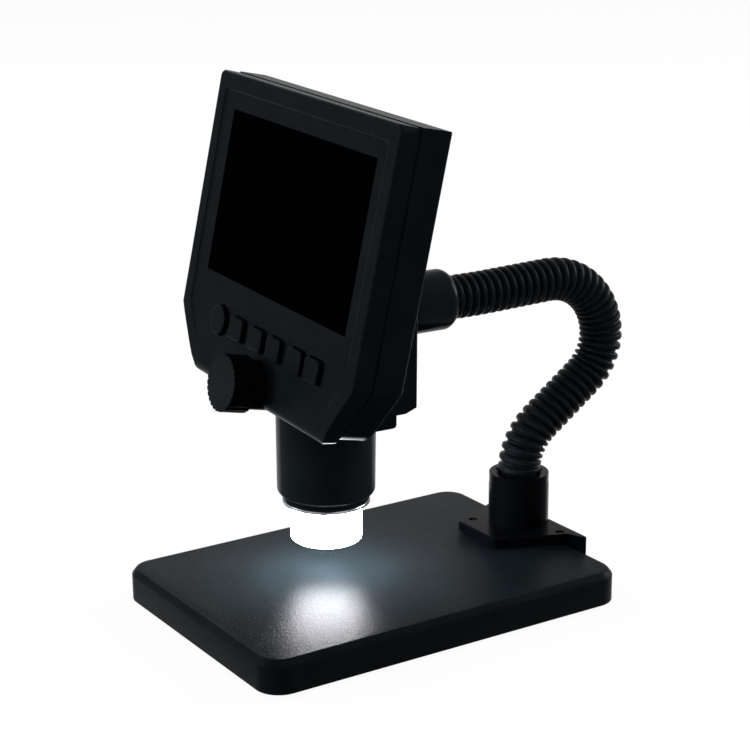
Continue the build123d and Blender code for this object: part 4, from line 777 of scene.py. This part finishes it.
# ---- barrel and light ----------------------------------------------------------------------------
BARREL_TOP_Z = -26.5
BARREL_BOTTOM_Z = -62.4
BARREL_FLOOR_Z = -60.2
BARREL_TOP_R = 17.26
BARREL_LOW_R = 16.97
BARREL_BORE_R = 14.6
BARREL_MOUTH_R = 12.85
BARREL_EDGE = 0.2
BARREL_ROUND = 1.9
SKIRT_TOP_Z = -61.2
SKIRT_BOTTOM_Z = -64.6
SKIRT_R = 14.8
SKIRT_NECK_R = 12.8
SKIRT_BORE_R = 9.5
SKIRT_EDGE = 0.1
SKIRT_EDGE_RISE = 0.12
# The groove round the skirt: heights over its bottom and depths.
SKIRT_GROOVE = ((0.85, 0.0), (0.95, 0.35), (1.2, 0.35), (1.3, 0.0))
RIM_BOTTOM_Z = -65.7
RIM_R = 15.2
RIM_BORE_R = 12.45
RIM_EDGE = 0.2
RIM_LOW_RISE = 0.15
RIM_TOP_DROP = 0.25
DIFFUSER_BOTTOM_Z = -79.3
DIFFUSER_R = 12.3
DIFFUSER_BORE_R = 10.8
DIFFUSER_MOUTH_R = 8.3
DIFFUSER_FLOOR = 1.5
DIFFUSER_ROUND = 1.0
DIFFUSER_LIP = 0.2
# The skirt stands this far into the barrel, so that no light passes between them.
SKIRT_LAP = 0.02


def barrel_pieces():
    """Barrel, skirt, rim and diffuser, each a closed profile spun about the optical axis."""
    tube = [(BARREL_BORE_R, BARREL_TOP_Z), (BARREL_TOP_R - BARREL_EDGE, BARREL_TOP_Z)]
    tube += [(BARREL_TOP_R, BARREL_TOP_Z - BARREL_EDGE), (BARREL_LOW_R, BARREL_FLOOR_Z - BARREL_EDGE)]
    tube += quarter(BARREL_ROUND, BARREL_LOW_R - BARREL_ROUND, BARREL_BOTTOM_Z + BARREL_ROUND)
    tube += [(BARREL_MOUTH_R, BARREL_BOTTOM_Z), (BARREL_MOUTH_R, BARREL_FLOOR_Z)]
    tube += [(BARREL_BORE_R, BARREL_FLOOR_Z)]
    shoulder = BARREL_BOTTOM_Z + SKIRT_LAP
    skirt = [(SKIRT_BORE_R, SKIRT_BOTTOM_Z), (SKIRT_R - SKIRT_EDGE, SKIRT_BOTTOM_Z)]
    skirt += [(SKIRT_R, SKIRT_BOTTOM_Z + SKIRT_EDGE_RISE)]
    skirt += [(SKIRT_R - depth, SKIRT_BOTTOM_Z + height) for height, depth in SKIRT_GROOVE]
    skirt += [(SKIRT_R, shoulder), (SKIRT_NECK_R, shoulder)]
    skirt += [(SKIRT_NECK_R, SKIRT_TOP_Z), (SKIRT_BORE_R, SKIRT_TOP_Z)]
    rim = [(RIM_BORE_R, RIM_BOTTOM_Z), (RIM_R - RIM_EDGE, RIM_BOTTOM_Z)]
    rim += [(RIM_R, RIM_BOTTOM_Z + RIM_LOW_RISE), (RIM_R, SKIRT_BOTTOM_Z - RIM_TOP_DROP)]
    rim += [(RIM_R - RIM_EDGE, SKIRT_BOTTOM_Z), (RIM_BORE_R, SKIRT_BOTTOM_Z)]
    floor_z = DIFFUSER_BOTTOM_Z + DIFFUSER_FLOOR
    cap = [(DIFFUSER_R, SKIRT_BOTTOM_Z)]
    cap += quarter(DIFFUSER_ROUND, DIFFUSER_R - DIFFUSER_ROUND, DIFFUSER_BOTTOM_Z + DIFFUSER_ROUND)
    cap += [(DIFFUSER_MOUTH_R + DIFFUSER_LIP, DIFFUSER_BOTTOM_Z)]
    cap += [(DIFFUSER_MOUTH_R, DIFFUSER_BOTTOM_Z + DIFFUSER_LIP), (DIFFUSER_MOUTH_R, floor_z)]
    cap += [(DIFFUSER_BORE_R, floor_z), (DIFFUSER_BORE_R, SKIRT_BOTTOM_Z)]
    for name, profile, finish, node, slot in (
        ("barrel_tube", tube, BARREL_ABS, "barrel", "barrel_plastic"),
        ("barrel_collar", skirt, BARREL_ABS, "barrel_skirt", "barrel_plastic"),
        ("barrel_rim", rim, RIM_CHROME, "rim_ring", "rim_gloss"),
        ("diffuser_cap", cap, DIFFUSER_PC, "diffuser", "diffuser_milky"),
    ):
        made = finished(name, turned(profile), BARREL, finish)
        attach(made, "head")
        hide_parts(node)


barrel_pieces()

# ---- room, light and camera ----------------------------------------------------------------------
FLOOR_Z = -1.0
FLOOR_R = 3000.0
# Share of the floor's white that comes from itself; the rest is lit, and takes the shadow.
FLOOR_GLOW = 0.94
AMBIENT = 0.35
LAMP_AIM = Vector((0, 0, 0.08))
# Each lamp's place and size in metres, and its power in watts.
LAMPS = {
    "key": ((-0.8, -1.4, 0.75), 0.9, 10.0),
    "low": ((-0.5, -1.3, 0.12), 0.5, 11.0),
    "fill": ((1.2, -0.2, 0.9), 0.9, 5.0),
    "top": ((-0.3, 0.3, 1.7), 0.9, 4.0),
    "back": ((0.3, 1.6, 0.7), 0.9, 24.0),
    "side": ((-1.4, 0.0, 1.0), 0.7, 6.0),
}
CAMERA_PLACE = (0.5494, -0.3516, 0.2763)
CAMERA_AZIMUTH = radians(57.22)
CAMERA_ELEVATION = radians(16.59)
CAMERA_ROLL = radians(-0.50)
CAMERA_LENS = 95.67


def seen_share(tree):
    """1 for rays from the camera, off gloss or through glass, and 0 for the light itself."""
    path = add(tree, "LightPath", {})
    mirrored = {0: path.outputs["Is Glossy Ray"], 1: path.outputs["Is Transmission Ray"]}
    mirrored = add(tree, "Math", mirrored, operation="MAXIMUM").outputs[0]
    seen = {0: path.outputs["Is Camera Ray"], 1: mirrored}
    return add(tree, "Math", seen, operation="MAXIMUM").outputs[0]


def floor():
    """White paper sweep: lit white to the eye, with the object's soft shadow kept, and grey to
    the light that it throws back up."""
    material, tree, shader, place = start_finish("white paper sweep")
    seen = seen_share(tree)
    shade = {0: seen, 6: colour("484848"), 7: colour("fafafa")}
    shade = add(tree, "Mix", shade, data_type="RGBA").outputs[2]
    fit(shader, {"Base Color": shade, "Roughness": 0.9, "Specular IOR Level": 0.0})
    share = add(tree, "Math", {0: seen, 1: FLOOR_GLOW}, operation="MULTIPLY").outputs[0]
    white = add(tree, "Emission", {"Strength": 1.0}).outputs[0]
    mix = add(tree, "MixShader", {0: share, 1: shader.outputs[0], 2: white})
    fit(tree.nodes["Material Output"], {"Surface": mix.outputs[0]})
    bm = bmesh.new()
    bmesh.ops.create_circle(bm, cap_ends=True, radius=FLOOR_R, segments=96, matrix=shift(0, 0, FLOOR_Z))
    mesh = bpy.data.meshes.new("floor")
    bm.to_mesh(mesh)
    bm.free()
    mesh.transform(TO_METRES)
    mesh.materials.append(material)
    made = bpy.data.objects.new("floor", mesh)
    bpy.context.scene.collection.objects.link(made)


def world():
    """White room: strength 1 to the eye and in reflections, dimmer as a light."""
    made = bpy.data.worlds.new("studio")
    bpy.context.scene.world = made
    made.use_nodes = True
    tree = made.node_tree
    strength = {"Value": seen_share(tree), "To Min": AMBIENT, "To Max": 1.0}
    strength = add(tree, "MapRange", strength).outputs["Result"]
    fit(tree.nodes["Background"], {"Color": (1, 1, 1, 1), "Strength": strength})


def lamp(name, place, size, power):
    """Soft square lamp aimed at the object."""
    data = bpy.data.lights.new(name, "AREA")
    data.size = size
    data.energy = power
    made = bpy.data.objects.new(name, data)
    bpy.context.scene.collection.objects.link(made)
    made.location = place
    made.rotation_euler = (LAMP_AIM - made.location).to_track_quat("-Z", "Y").to_euler()


def camera():
    """Camera to the object's right and a little above it."""
    level_back = Vector((sin(CAMERA_AZIMUTH), -cos(CAMERA_AZIMUTH), 0))
    back = level_back * cos(CAMERA_ELEVATION) + Vector((0, 0, sin(CAMERA_ELEVATION)))
    level = Vector((0, 0, 1)).cross(back).normalized()
    up = back.cross(level)
    right = level * cos(CAMERA_ROLL) + up * sin(CAMERA_ROLL)
    top = up * cos(CAMERA_ROLL) - level * sin(CAMERA_ROLL)
    data = bpy.data.cameras.new("camera")
    data.lens = CAMERA_LENS
    data.clip_start = 0.01
    made = bpy.data.objects.new("camera", data)
    bpy.context.scene.collection.objects.link(made)
    made.matrix_world = shift(*CAMERA_PLACE) @ Matrix((right, top, back)).transposed().to_4x4()
    bpy.context.scene.camera = made


floor()
world()
for name, (place, size, power) in LAMPS.items():
    lamp(name, place, size, power)
camera()
bpy.context.scene.view_settings.view_transform = "Standard"
